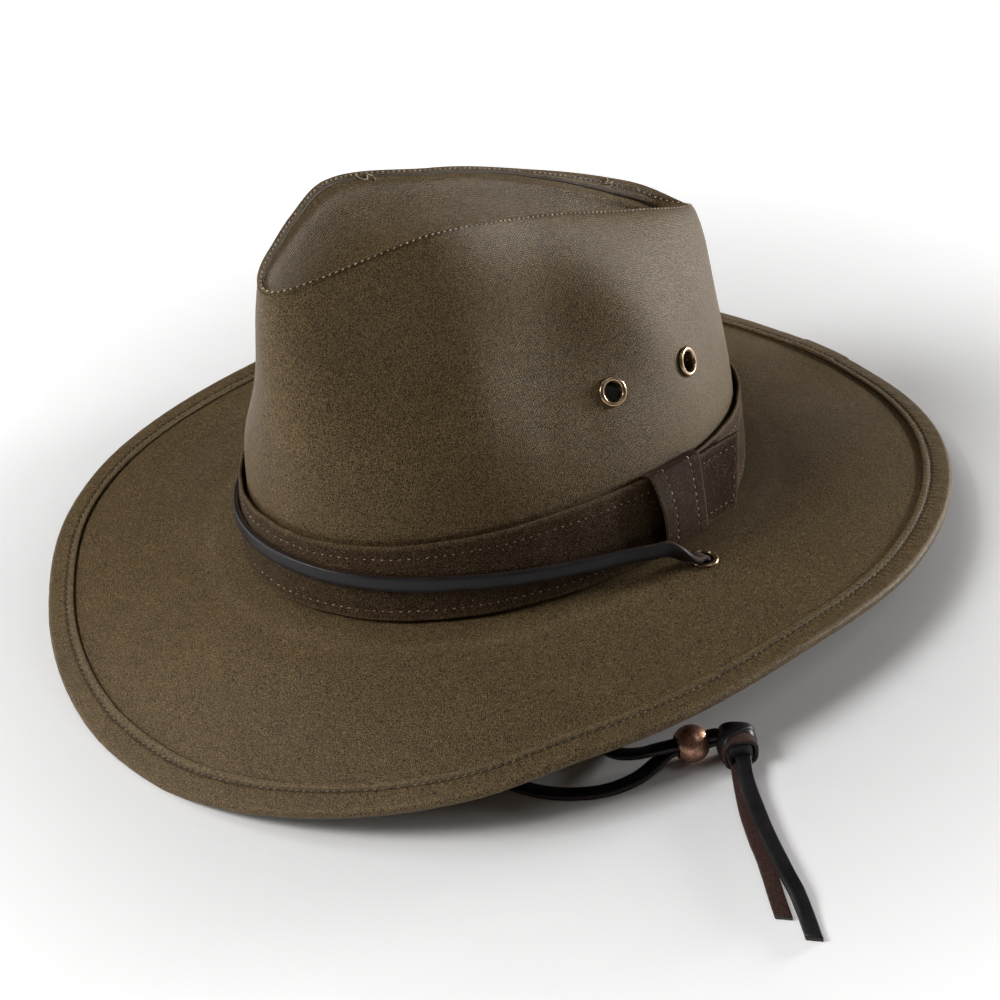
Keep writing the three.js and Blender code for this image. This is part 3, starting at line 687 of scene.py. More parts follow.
@dataclass(frozen=True)
class LaceLeather:
    """Dark dyed lace: smooth grain side with a cool sheen, rough red-brown flesh side."""

    name: str = "lace_leather_finish"
    slot: str = "lace_leather"
    grain: Colour = (0.005, 0.0042, 0.0048)
    worn: Colour = (0.014, 0.012, 0.014)
    flesh: Colour = (0.026, 0.01, 0.007)
    fibre: Colour = (0.075, 0.032, 0.022)

    def build(self) -> bpy.types.Material:
        """Makes the material: grain and flesh colours by a mark, pores and drawn fibres."""
        sheet = NodeSheet(self.name)
        pores = sheet.noise(1600, 2.5, 0.6)
        fibres = sheet.noise(900, 4.0, 0.7)
        cloud = sheet.noise(90, 4.0, 0.6)
        smooth = sheet.blend(sheet.spread(cloud, 0.42, 0.7, (0.0, 0.8)), self.grain, self.worn)
        nap = sheet.blend(sheet.spread(fibres, 0.4, 0.7), self.flesh, self.fibre)
        side = sheet.mark("flesh")
        colour = sheet.blend(side, smooth, nap)
        rough = sheet.math("MAXIMUM", sheet.spread(cloud, 0.3, 0.7, (0.34, 0.5)), side)
        relief = sheet.relief(cloud, 0.4, 0.0003)
        return sheet.finish(
            Base_Color=colour,
            Roughness=sheet.math("MINIMUM", rough, 0.88),
            Normal=sheet.relief(pores, 0.4, 0.0001, relief),
            Coat_Weight=0.06,
            Coat_Roughness=0.35,
            Specular_IOR_Level=0.42,
        )


@dataclass(frozen=True)
class AgedMetal:
    """Antique plated metal: dark in the hollows, bright where it is worn."""

    name: str
    slot: str
    bright: Colour
    dull: Colour
    scale: float
    roughness: float

    def build(self) -> bpy.types.Material:
        """Makes the material: cloudy tarnish broken by fine specks, lessened where the mark shows worn
        metal.
        """
        sheet = NodeSheet(self.name)
        cloud = sheet.noise(self.scale, 5.0, 0.68)
        specks = sheet.noise(self.scale * 4, 3.0, 0.6)
        tarnish = sheet.spread(sheet.math("ADD", cloud, specks), 0.85, 1.16)
        rubbed_and_highlight = sheet.math("MULTIPLY", sheet.mark("wear_and_highlight"), 0.75)
        tarnish = sheet.math("MAXIMUM", sheet.math("SUBTRACT", tarnish, rubbed_and_highlight), 0.0)
        return sheet.finish(
            Base_Color=sheet.blend(tarnish, self.bright, self.dull),
            Metallic=0.9,
            Roughness=sheet.spread(tarnish, 0.0, 1.0, (self.roughness, self.roughness + 0.3)),
            Normal=sheet.relief(cloud, 0.35, 0.00015),
        )


@dataclass(frozen=True)
class SewingThread:
    """Twisted tan thread."""

    name: str = "thread_finish"
    light: Colour = (0.42, 0.31, 0.19)
    dark: Colour = (0.12, 0.08, 0.045)

    def build(self) -> bpy.types.Material:
        """Makes the material: light and dark stretches with fine fibres."""
        sheet = NodeSheet(self.name)
        change = sheet.spread(sheet.noise(330, 2.0), 0.38, 0.62)
        fibre = sheet.noise(6000, 2.0)
        return sheet.finish(
            Base_Color=sheet.blend(change, self.light, self.dark),
            Roughness=sheet.spread(fibre, 0.3, 0.7, (0.6, 0.8)),
            Normal=sheet.relief(fibre, 0.5, 0.00006),
            Sheen_Weight=0.2,
        )


# The hat


@dataclass
class HatShape:
    """Sizes of the crown and brim, and the surfaces that its pieces share."""

    head_length: float = 207.6
    head_width: float = 161.2
    head_height: float = 28.3
    head_tilt: float = 5.5
    head_shift: float = -2.3
    side_rise: float = 4.0
    crown_height: float = 134.0
    crest_length: float = 200.0
    crest_width: float = 68.0
    crest_shift: float = -1.6
    crown_wall: float = 1.6
    dent_depth: float = 10.0
    brim_width: float = 75.0
    brim_rise: float = 23.5
    brim_arch: float = 6.0
    brim_wall: float = 1.8
    binding_width: float = 9.5
    binding_wall: float = 0.9
    edge_seat: float = 1.6

    ANGLES = np.array([0, 30, 45, 60, 90, 120, 150, 180.0])
    COLUMNS = {
        "width": (1.034, 1.088, 1.12, 1.07, 1, 1.08, 1.125, 1.09),
        "rise": (0, 0.435, 0.745, 0.964, 0.928, 0.657, 0.258, 0),
        "arch": (0.9, 0.6, 0.35, 0.1, -0.2, 0.1, 0.5, 0.6),
        "crest": (0.9, 0.88, 0.95, 1.04, 0.86, 0.85, 0.95, 1),
        "height": (0.892, 0.936, 0.975, 1.008, 0.936, 0.823, 0.726, 0.668),
        "dip": (0.1, 0.13, 0.15, 0.17, 0.18, 0.17, 0.13, 0.09),
        "shoulder": (0.3, 0.1, 0.1, 0.1, 0.25, 0.4, 0.5, 0.6),
        "seam": (0, 0, 0, 0, 0, 0.1, 0.25, 0.35),
    }
    DENTS = (
        (44, 22, 0.7, 0.26, 0.9),
        (78, 24, 0.62, 0.28, 0.9),
        (109, 13, 0.66, 0.34, -0.25),
        (36, 30, 0.34, 0.2, -0.38),
        (148, 22, 0.62, 0.35, 0.28),
    )

    def around(self, column: str, angle: Array) -> Array:
        """Reads one column of the table round the hat, the same on both sides."""
        turned = np.mod(angle, 360)
        side = np.minimum(turned, 360 - turned)
        return read_table(self.ANGLES, np.array(self.COLUMNS[column], float), side)

    def base(self, angle: Array, margin: Array = 0.0) -> Array:
        """Where the crown meets the brim, in the head frame.

        The radius is that of an oval of the head's length and width, plus the margin, and the
        line rises at the sides by a cosine of twice the angle.
        """
        turn = np.radians(angle)
        cos, sin = np.cos(turn), np.sin(turn)
        radius = 1 / np.hypot(cos / (self.head_length / 2), sin / (self.head_width / 2)) + margin
        height = -self.side_rise / 2 * np.cos(2 * turn)
        return np.stack(np.broadcast_arrays(radius * sin, -radius * cos, height), axis=-1)

    def crest(self, angle: Array) -> Array:
        """Highest line round the top of the crown, an oval whose half width and height vary."""
        turn = np.radians(angle)
        x = self.crest_width / 2 * self.around("crest", angle) * np.sin(turn)
        y = self.crest_shift - self.crest_length / 2 * np.cos(turn)
        z = self.crown_height * self.around("height", angle)
        return np.stack(np.broadcast_arrays(x, y, z), axis=-1)

    def dent(self, angle: Array, share: Array) -> Array:
        """Depth of the dents: bells over angle and height, fading at the brim and crest."""
        turned = np.mod(angle, 360)
        side = np.minimum(turned, 360 - turned)
        depth = 0.0
        for at, spread, height, reach, part in self.DENTS:
            depth = depth + part * bump(side, at, spread) * bump(share, height, reach)
        return self.dent_depth * depth * np.sin(np.pi * share)

    def wall(self, angle: Array, share: Array) -> Array:
        """Outer face of the side panel, share 0 at the brim and 1 at the crest.

        The wall blends from a straight slope to a quarter of a squarish oval as the shoulder
        grows, and the dents are taken off towards the middle.
        """
        angle, share = np.broadcast_arrays(np.asarray(angle, float), np.asarray(share, float))
        base, crest = self.base(angle), self.crest(angle)
        shoulder = self.around("shoulder", angle)
        turn = share * np.pi / 2
        up = mix(share, np.sin(turn) ** 0.6, shoulder)
        inward = mix(share, 1 - np.clip(np.cos(turn), 0, 1) ** 0.6, shoulder)
        x = mix(base[..., 0], crest[..., 0], inward)
        y = mix(base[..., 1], crest[..., 1], inward)
        z = mix(base[..., 2], crest[..., 2], up)
        scale = 1 - self.dent(angle, share) / np.maximum(np.hypot(x, y), 1e-6)
        return np.stack([x * scale, y * scale, z], axis=-1)

    def dip(self, angle: Array, share: Array) -> Array:
        """Face inside the crest, share 0 at the crest and 1 on the middle line of the dip."""
        angle, share = np.broadcast_arrays(np.asarray(angle, float), np.asarray(share, float))
        crest = self.crest(angle)
        sharp = np.sin(share * np.pi / 2)
        soft = (1 - np.cos(share * np.pi)) / 2
        fall = mix(sharp, soft, self.around("shoulder", angle))
        x = crest[..., 0] * (1 - share)
        y = mix(crest[..., 1], crest[..., 1] * 0.84, share)
        z = crest[..., 2] - self.crown_height * self.around("dip", angle) * fall
        return np.stack([x, y, z], axis=-1)

    def wall_normal(self, angle: Array, share: Array) -> Array:
        """Outward direction of the side panel, from small steps both ways."""
        across = self.wall(angle + 1, share) - self.wall(angle - 1, share)
        low, high = np.maximum(0, share - 0.01), np.minimum(1, share + 0.01)
        return unit(np.cross(across, self.wall(angle, high) - self.wall(angle, low)))

    def share_at(self, angle: Array, height: Array) -> Array:
        """The wall's share at a height above the brim, halving the range 24 times."""
        angle, height = np.broadcast_arrays(np.asarray(angle, float), np.asarray(height, float))
        target = self.base(angle)[..., 2] + height
        low, high = np.zeros(angle.shape), np.ones(angle.shape)
        for _ in range(24):
            middle = (low + high) / 2
            under = self.wall(angle, middle)[..., 2] < target
            low, high = np.where(under, middle, low), np.where(under, high, middle)
        return (low + high) / 2

    def off_wall(self, angle: Array, height: Array, out: Array) -> Array:
        """A point a distance out from the cloth, over its point at a height above the brim."""
        share = self.share_at(angle, height)
        angle = np.broadcast_to(np.asarray(angle, float), share.shape)
        out = np.broadcast_to(np.asarray(out, float), share.shape)
        return self.wall(angle, share) + self.wall_normal(angle, share) * out[..., None]

    @property
    def turn(self) -> Array:
        """Rotation that tips the head frame back in the hat's frame."""
        return np.array(Matrix.Rotation(-math.radians(self.head_tilt), 3, "X"))

    def turned(self, directions: Array) -> Array:
        """Directions of the head frame, in the hat's frame."""
        return directions @ self.turn.T

    def settled(self, points: Array) -> Array:
        """Points of the head frame, in the hat's frame."""
        return self.turned(points) + np.array([0, self.head_shift, self.head_height])

    def edge_height(self, angle: Array) -> Array:
        """Height of the brim's edge, level for a short way at the front and the back."""
        level = 0.032
        rise = np.maximum(0, self.around("rise", angle) - level) / (1 - level)
        return self.edge_seat + self.brim_rise * rise

    def brim(self, angle: Array, reach: Array) -> Array:
        """Middle of the brim's cloth, reach 0 at the head opening and 1 at the edge.

        A straight line from the opening to the edge, plus an arch that is a parabola of reach.
        """
        angle, reach = np.broadcast_arrays(np.asarray(angle, float), np.asarray(reach, float))
        inner = self.base(angle, -self.crown_wall)
        inner[..., 2] -= GAP + self.brim_wall / 2
        inner = self.settled(inner)
        width = self.brim_width * self.around("width", angle)
        outer = self.base(angle, width - self.brim_wall / 2 - GAP - self.binding_wall)
        outer[..., 1] += self.head_shift
        outer[..., 2] = self.edge_height(angle)
        point = mix(inner, outer, reach[..., None])
        arch = self.brim_arch * self.around("arch", angle)
        point[..., 2] += arch * 4 * reach * (1 - reach)
        return point

    def brim_frame(self, angle: Array, reach: Array) -> tuple[Array, Array, Array]:
        """The brim's middle, and its out and up directions there."""
        low, high = np.maximum(0, reach - 0.02), np.minimum(1, reach + 0.02)
        out = unit(self.brim(angle, high) - self.brim(angle, low))
        across = self.brim(angle + 1, reach) - self.brim(angle - 1, reach)
        up = unit(np.cross(across, out))
        return self.brim(angle, reach), out, np.where(up[..., 2:] < 0, -up, up)

    def binding_reach(self, angle: Array) -> Array:
        """Where the binding ends on the brim, as the brim's reach."""
        return 1 - self.binding_width / (self.brim_width * self.around("width", angle))


def cut_holes(piece: bpy.types.Object, cutters: list[MeshParts]) -> None:
    """Cuts turned plugs out of a piece and keeps the result as its mesh.

    Args:
        piece: The piece to cut.
        cutters: Closed meshes to take away.
    """
    plain = bpy.data.materials.new("cutter")
    for index, parts in enumerate(cutters):
        mesh = bpy.data.meshes.new(f"cutter_{index}")
        mesh.from_pydata((parts.points * MM).tolist(), [], parts.quads.tolist())
        mesh.materials.append(plain)
        tool = bpy.data.objects.new(f"cutter_{index}", mesh)
        bpy.context.scene.collection.objects.link(tool)
        modifier = piece.modifiers.new("hole", "BOOLEAN")
        modifier.object, modifier.operation, modifier.solver = tool, "DIFFERENCE", "EXACT"
        bpy.context.view_layer.update()
        graph = bpy.context.evaluated_depsgraph_get()
        cut = bpy.data.meshes.new_from_object(piece.evaluated_get(graph))
        piece.modifiers.clear()
        piece.data = cut
        bpy.data.objects.remove(tool)
        bpy.data.meshes.remove(mesh)
    while len(piece.data.materials) > 1:
        piece.data.materials.pop(index=len(piece.data.materials) - 1)
    bpy.data.materials.remove(plain)


def plug(radius: float, depth: float, steps: int = 40) -> MeshParts:
    """A round plug about the Z axis, whose ends are closed by strips across it."""
    turn = (np.arange(steps) + 0.5) * 2 * np.pi / steps
    ring = np.stack([radius * np.cos(turn), radius * np.sin(turn), 0 * turn], axis=1)
    rings = np.stack([ring + [0, 0, -depth / 2], ring + [0, 0, depth / 2]])
    return loft(rings, False)


@dataclass
class Eyelets:
    """Rolled metal rings: four vents in the crown and two for the lace in the brim."""

    shape: HatShape
    outer: float = 11.4
    hole: float = 7.4
    barrel: float = 0.6
    flange: float = 0.9
    lift: float = 0.35
    steps: int = 56
    lace_angle: float = 102.0
    lace_reach: float = 14.0
    cutter_depth: float = 10.0

    VENTS = (("front", 94.0, 61.0), ("back", 120.0, 59.5))

    def ring(self, wall: float) -> MeshParts:
        """One ring about Z: a rolled face flange, a barrel and a flat back flange.

        The face is half an oval from the hole to the outer edge, and the wear mark follows
        its height.
        """
        low, high = self.hole / 2, self.outer / 2
        roll = np.radians(np.linspace(180, 0, 13))
        face_r = (low + high) / 2 + (high - low) / 2 * np.cos(roll)
        face_z = self.lift - 0.1 + self.flange * np.sin(roll)
        back = -wall - self.lift
        rest = [
            (high - 0.05, self.lift - 0.25),
            (low + self.barrel, self.lift - 0.3),
            (low + self.barrel, back),
            (high - 0.9, back),
            (high - 0.6, back - 0.22),
            (high - 0.9, back - 0.45),
            (low + 0.1, back - 0.45),
            (low, back - 0.2),
            (low, -wall / 2),
        ]
        profile = np.vstack([np.stack([face_r, face_z], 1), np.array(rest)])
        parts = lathe(profile, self.steps)
        height = np.concatenate([np.sin(roll), np.full(len(rest), 0.15)])
        parts.marks = {"wear_and_highlight": np.tile(height, self.steps)}
        return parts

    def vent_places(self) -> list[tuple[str, Array, Array]]:
        """Name, place and direction of each vent, in the hat's frame."""
        found = []
        for side in Side:
            for end, angle, height in self.VENTS:
                at = np.array(side.value * angle)
                share = self.shape.share_at(at, height)
                place = self.shape.settled(self.shape.wall(at, share))
                axis = self.shape.turn @ self.shape.wall_normal(at, share)
                found.append((f"{side.name.lower()}_{end}", place, axis))
        return found

    def lace_place(self, side: Side) -> tuple[Array, Array, Array]:
        """Place on the brim's top face, and out and up directions, of a lace eyelet."""
        shape = self.shape
        at = np.array(side.value * self.lace_angle)
        width = shape.brim_width * shape.around("width", at)
        point, out, up = shape.brim_frame(at, (self.lace_reach + shape.crown_wall) / width)
        return point + up * shape.brim_wall / 2, out, up

    def cutter(self, place: Array, axis: Array) -> MeshParts:
        """A plug for one hole, a gap wider than the ring's barrel."""
        radius = self.hole / 2 + self.barrel + GAP
        return set_on(plug(radius, self.cutter_depth), place, axis)

    def crown_cutters(self) -> list[MeshParts]:
        """Plugs for the vent holes in the crown."""
        return [self.cutter(place, axis) for _, place, axis in self.vent_places()]

    def brim_cutters(self) -> list[MeshParts]:
        """Plugs for the lace holes in the brim."""
        return [self.cutter(place, up) for place, _, up in map(self.lace_place, Side)]

    def build(self, metal: AgedMetal) -> None:
        """Makes all six rings in place of their CAD nodes."""
        material = metal.build()
        for name, place, axis in self.vent_places():
            parts = set_on(self.ring(self.shape.crown_wall), place, axis)
            piece = parts.make(f"vent_ring_{name}", material, metal.slot)
            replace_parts(piece, f"vent_eyelet_{name}")
        for side in Side:
            place, _, up = self.lace_place(side)
            parts = set_on(self.ring(self.shape.brim_wall), place, up)
            name = side.name.lower()
            piece = parts.make(f"lace_ring_{name}", material, metal.slot)
            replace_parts(piece, f"lace_eyelet_{name}")


@dataclass
class Crown:
    """Side panel and tip panel of the crown, sewn together along the crest.

    The stitch row lies seam_before columns of the grid before the crest on the wearer's left,
    and seam_after columns past it on the right.
    """

    shape: HatShape
    round_steps: int = 400
    wall_steps: int = 64
    fold_steps: int = 10
    fold: float = 0.8
    far_fold: float = 2.3
    seam_before: float = 1.6
    seam_after: float = 5.0
    crest_reach: float = 9.0
    crest_rounds: int = 8
    tip_steps: int = 150
    tip_half: int = 30
    tip_ends: float = 3.0
    tip_gap: float = 0.4
    dip_reach: float = 10.0
    dip_rounds: int = 30
    thread_width: float = 0.42
    sewing: Sewing = Sewing(pitch=2.4, length=1.4, width=0.5, slant=0.25)

    THREAD = SewingThread("crest_thread_finish", (0.62, 0.5, 0.34), (0.26, 0.19, 0.12))
    LOOSE_ENDS = (
        ((-30.9, -25.6, 163.6), (-29.6, -25.2, 162.6), (-28.6, -23.6, 161.4), (-28.9, -21.9, 161.2),
         (-29.5, -21.4, 162.2), (-29.2, -19.9, 161.6), (-28.4, -19.0, 160.4), (-27.4, -19.6, 159.4)),
        ((-17.6, 80.2, 119.8), (-17.0, 81.6, 119.6), (-17.6, 83.0, 120.2), (-18.4, 83.6, 120.6),
         (-17.8, 84.8, 120.0)),
        ((-16.9, 80.8, 119.5), (-16.4, 82.8, 119.2), (-16.8, 84.6, 118.9)),
    )  # fmt: skip

    def right_side(self, angle: Array) -> Array:
        """0 on the wearer's left of the crown, 1 on the right, with a smooth change between."""
        return smooth_step(-np.sin(np.radians(angle)), -0.25, 0.3)

    def fold_share(self, angle: Array) -> Array:
        """Share of the dip at which the side panel ends: its seam, or just over a sharp crest.

        The hem over the crest is wider on the wearer's right.
        """
        reach = np.linalg.norm(self.shape.crest(angle) - self.shape.dip(angle, 1.0), axis=-1)
        fold = mix(self.fold, self.far_fold, self.right_side(angle))
        return np.maximum(self.shape.around("seam", angle), fold / reach)

    def creases(self, angle: Array, share: Array) -> Array:
        """Slight waves of the cloth, in millimetres: low sums of sines that fade at the edges."""
        turn = np.radians(angle)
        waves = (
            0.35 * np.sin(3 * turn + 5 * share + 0.6)
            + 0.25 * np.sin(7 * turn - 4 * share + 1.9)
            + 0.12 * np.sin(13 * turn + 9 * share)
        )
        near_band = 0.35 * np.sin(21 * turn + 2 * np.sin(5 * turn)) * bump(share, 0.3, 0.08)
        return (waves + near_band) * smooth_step(share, 0.26, 0.45) * smooth_step(1 - share, 0, 0.2)

    def side_face(self) -> tuple[Array, Array]:
        """Outer face of the side panel, up the wall and over the crest to the seam.

        Wall points crowd towards the crest, and the corner there is rounded by averaging each
        point with its neighbours up and down.

        Returns:
            The face's grid in the head frame, and how pale each point is, by worn cloth and a painted
            highlight along the crest.
        """
        angle = np.linspace(0, 360, self.round_steps, endpoint=False)[:, None]
        share = (1 - (1 - np.linspace(0, 1, self.wall_steps + 1)) ** 1.5)[None, :]
        wall = self.shape.wall(angle, share)
        wall -= self.shape.wall_normal(angle, share) * self.creases(angle, share)[..., None]
        over = self.fold_share(angle) * np.linspace(0, 1, self.fold_steps + 1)[None, 1:]
        face = np.concatenate([wall, self.shape.dip(angle, over)], axis=1)
        crest = self.wall_steps
        columns = np.arange(face.shape[1])
        near = bump(columns, crest, self.crest_reach)[1:-1]
        face = levelled(face, near, self.crest_rounds)
        # Paler along the crest, most where it is sharp: worn cloth, and a painted highlight of the
        # crest line.
        sharp = np.exp(-self.shape.around("seam", angle) * 12)
        rubbed_and_highlight = bump(columns, crest + 2.0, 5.0)[None, :] * mix(0.3, 0.75, sharp)
        return face, rubbed_and_highlight

    def side(self, cloth: WaxedCloth, eyelets: Eyelets) -> None:
        """Makes the side panel, its vent holes and the stitches along its folded edge.

        The seam mark paints shade: near black along the hem's edge and in a line under the stitches.
        """
        face, rubbed_and_highlight = self.side_face()
        normal = self.shape.turned(grid_normals(face, True, face * [1, 1, 0.2]))
        face = self.shape.settled(face)
        parts = cloth_shell(face, normal, self.shape.crown_wall, True, rubbed_and_highlight, 0.6)
        angle = np.linspace(0, 360, self.round_steps, endpoint=False)
        side = self.right_side(angle)
        column = self.wall_steps + mix(-self.seam_before, self.seam_after, side)
        dark = bump(np.arange(face.shape[1])[None, :], column[:, None], 1.0)
        seam = np.zeros((len(face), len(parts.points) // len(face)))
        end = EDGE + face.shape[1]
        # Painted shade along the hem's edge and the stitch line.
        seam[:, end - 2 : end + 6] = 0.8
        seam[:, EDGE:end] = np.maximum(seam[:, EDGE:end], 0.85 * dark)
        parts.marks["seam"] = seam.ravel()
        piece = parts.make("crown_side_cloth", cloth.build(), cloth.slot)
        cut_holes(piece, eyelets.crown_cutters())
        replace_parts(piece, "crown_side")
        row = np.arange(self.round_steps)
        low = np.floor(column).astype(int)
        part = (column - low)[:, None]
        path = mix(face[row, low], face[row, low + 1], part)
        up = unit(mix(normal[row, low], normal[row, low + 1], part))
        thread = stitches(np.vstack([path, path[:1]]), np.vstack([up, up[:1]]), self.sewing)
        thread.joined(self.loose_ends()).make("crest_stitches", self.THREAD.build(), cloth.slot)

    def loose_ends(self) -> MeshParts:
        """Curled ends of thread where the seam begins and stops, each a thin tube on a route."""
        made = None
        turn = np.linspace(0, 2 * np.pi, 6, endpoint=False)[None, :, None]
        for route in self.LOOSE_ENDS:
            path = smooth_route(np.array(route, float), 40)
            ahead = unit(np.gradient(path, axis=0))
            side = unit(np.cross(ahead, np.array([0.3, 0.2, 0.93])))
            other = np.cross(ahead, side)
            ring = np.cos(turn) * side[:, None] + np.sin(turn) * other[:, None]
            tube = loft(path[:, None] + ring * self.thread_width / 2, False)
            made = tube if made is None else made.joined(tube)
        return made

    def tip(self, cloth: WaxedCloth) -> None:
        """Makes the tip panel: rows across the dip from one seam to the other.

        Its edges stand a little proud of a shallow groove and sink under the hem.
        """
        shape = self.shape
        angle = np.linspace(self.tip_ends, 180 - self.tip_ends, self.tip_steps + 1)
        reach = np.linalg.norm(shape.crest(angle) - shape.dip(angle, 1.0), axis=-1)
        start = np.minimum(0.9, self.fold_share(angle) + self.tip_gap / reach)[:, None]
        t = np.linspace(0, 1, self.tip_half + 1)[None, :]
        left = shape.dip(angle[:, None], mix(start, 1.0, t))
        right = shape.dip(-angle[:, None], mix(start, 1.0, t[:, -2::-1]))
        face = np.concatenate([left, right], axis=1)
        columns = np.arange(face.shape[1])
        face = levelled(face, bump(columns, self.tip_half, self.dip_reach)[1:-1], self.dip_rounds)
        edge = np.abs(columns - self.tip_half)[None, :] / self.tip_half
        lip = 0.4 * smooth_step(edge, 0.9, 1.0) - 0.5 * bump(edge, 0.88, 0.05)
        upward = np.array([0, 0, 1.0])
        face = face - grid_normals(face, False, upward) * lip[..., None]
        normal = shape.turned(grid_normals(face, False, upward))
        # Paler along both edges: worn cloth, and a painted highlight of the raised lip.
        wear_and_highlight = 0.3 * smooth_step(edge, 0.8, 0.97)
        parts = cloth_shell(shape.settled(face), normal, shape.crown_wall, False, wear_and_highlight)
        piece = parts.make("crown_tip_cloth", cloth.build(), cloth.slot)
        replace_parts(piece, "crown_tip")


@dataclass
class Brim:
    """The brim's cloth, the tape that binds its edge and the stitches on both faces.

    The groove is measured from the tape's inner edge, and the nose is the tape's round edge.
    """

    shape: HatShape
    round_steps: int = 420
    reach_steps: int = 56
    leaf_steps: int = 20
    nose_steps: int = 9
    tape_steps: int = 1260
    overlap: float = 22.0
    groove: float = 3.0
    groove_width: float = 0.5
    groove_depth: float = 0.5
    sewing: Sewing = Sewing(pitch=2.9, length=1.7, width=0.42, slant=0.2, lift=0.15)

    THREAD = SewingThread("binding_thread_finish", (0.3, 0.23, 0.14), (0.09, 0.062, 0.035))

    def sheet(self, cloth: WaxedCloth, eyelets: Eyelets) -> None:
        """Makes the brim's cloth: top face, rounded edges and under face.

        The top face has slight waves that fade at the crown and under the binding.
        """
        shape = self.shape
        angle = np.linspace(0, 360, self.round_steps, endpoint=False)[:, None]
        reach = np.linspace(0.004, 1, self.reach_steps + 1)[None, :] * np.ones_like(angle)
        middle, _, up = shape.brim_frame(angle, reach)
        turn = np.radians(angle)
        waves = 0.3 * np.sin(5 * turn + 4 * reach) + 0.2 * np.sin(11 * turn - 6 * reach + 1)
        waves = waves * smooth_step(reach, 0.2, 0.4) * smooth_step(1 - reach, 0.14, 0.3)
        face = middle + up * (shape.brim_wall / 2 + waves)[..., None]
        parts = cloth_shell(face, up, shape.brim_wall, True, 0.45 * bump(reach, 0.2, 0.035))
        piece = parts.make("brim_cloth", cloth.build(), cloth.slot)
        cut_holes(piece, eyelets.brim_cutters())
        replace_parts(piece, "brim")

    def leaf(self, angle: Array, distance: Array) -> tuple[Array, Array]:
        """Line round the brim's edge at a distance from the middle of its cloth.

        It runs over the top to the edge, round it on half a circle, and back underneath.

        Returns:
            The grid of points, and for each column how far it is from the tape's inner edge.
        """
        shape = self.shape
        first = shape.binding_reach(angle)
        share = np.linspace(0, 1, self.leaf_steps + 1)[None, :]
        point, _, up = shape.brim_frame(angle, mix(first, 1.0, share))
        distance = np.broadcast_to(distance, (len(angle), 1))[..., None]
        edge, out, edge_up = shape.brim_frame(angle, np.ones_like(angle))
        turn = np.radians(np.linspace(75, -75, self.nose_steps))[None, :, None]
        nose = edge + distance * (np.cos(turn) * out + np.sin(turn) * edge_up)
        grid = [point + up * distance, nose, (point - up * distance)[:, ::-1]]
        width = shape.binding_width
        far = np.full(self.nose_steps, width + 1)
        span = np.concatenate([share[0] * width, far, share[0, ::-1] * width])
        return np.concatenate(grid, axis=1), span

    def binding(self, cloth: WaxedCloth) -> None:
        """Makes the folded tape and its stitches.

        A groove runs along the stitch row, and the cloth puckers beside it once a stitch. The
        tape is double over a short way at the back, and flat where it rests. Its hidden inner
        face has every second column.
        """
        shape = self.shape
        angle = np.linspace(0, 360, self.tape_steps, endpoint=False)[:, None]
        half = math.degrees(self.overlap / (shape.head_length / 2 + shape.brim_width)) / 2
        double = smooth_step(-np.abs(angle - 180), -half - 0.5, -half)
        inside = shape.brim_wall / 2 + GAP
        thick = inside + shape.binding_wall + double * shape.binding_wall / 2
        face, span = self.leaf(angle, thick)
        back, _ = self.leaf(angle, inside + 0.02)
        up = unit(face - back)
        edge = self.leaf_steps
        length = lengths_along(np.vstack([face[:, edge], face[:1, edge]]))[:-1, None]
        phase = 2 * np.pi * length / self.sewing.pitch
        groove = bump(span, self.groove, self.groove_width)
        swell = bump(span, 1.2, 1.0)[None, :] * (0.22 + 0.16 * np.cos(phase))
        swell = swell + bump(span, 4.8, 1.2)[None, :] * 0.26 * np.cos(phase + 0.5)
        ripple = 0.1 * np.sin(phase * 0.31 + 2 * np.sin(phase * 0.057))
        ripple = ripple * bump(span, 7.5, 2.5)[None, :]
        face = face + up * (swell + ripple - self.groove_depth * groove[None, :])[..., None]
        face[..., 2] = np.maximum(face[..., 2], 0.0)
        outlines = np.concatenate([face, back[:, ::-2]], axis=1)
        rubbed_and_highlight = 0.55 * bump(span, 1.0, 1.3) + 0.35 * bump(span, 10.5, 1.2)
        marks = {}
        # Painted shade: the seam mark darkens the groove to near black.
        for key, strip in (("wear_and_highlight", rubbed_and_highlight), ("seam", 0.8 * groove)):
            marks[key] = np.zeros(outlines.shape[:2])
            marks[key][:, : len(span)] = strip[None, :]
        parts = loft(outlines, True, marks)
        piece = parts.make("binding_tape", cloth.build(), cloth.slot)
        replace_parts(piece, "brim_binding")
        rows = []
        column = int(round(self.leaf_steps * self.groove / shape.binding_width))
        for at in (column, face.shape[1] - 1 - column):
            path = np.vstack([face[:, at], face[:1, at]])
            normal = np.vstack([up[:, at], up[:1, at]])
            rows.append(stitches(path, normal, self.sewing))
        rows[0].joined(rows[1]).make("binding_stitches", self.THREAD.build(), cloth.slot)


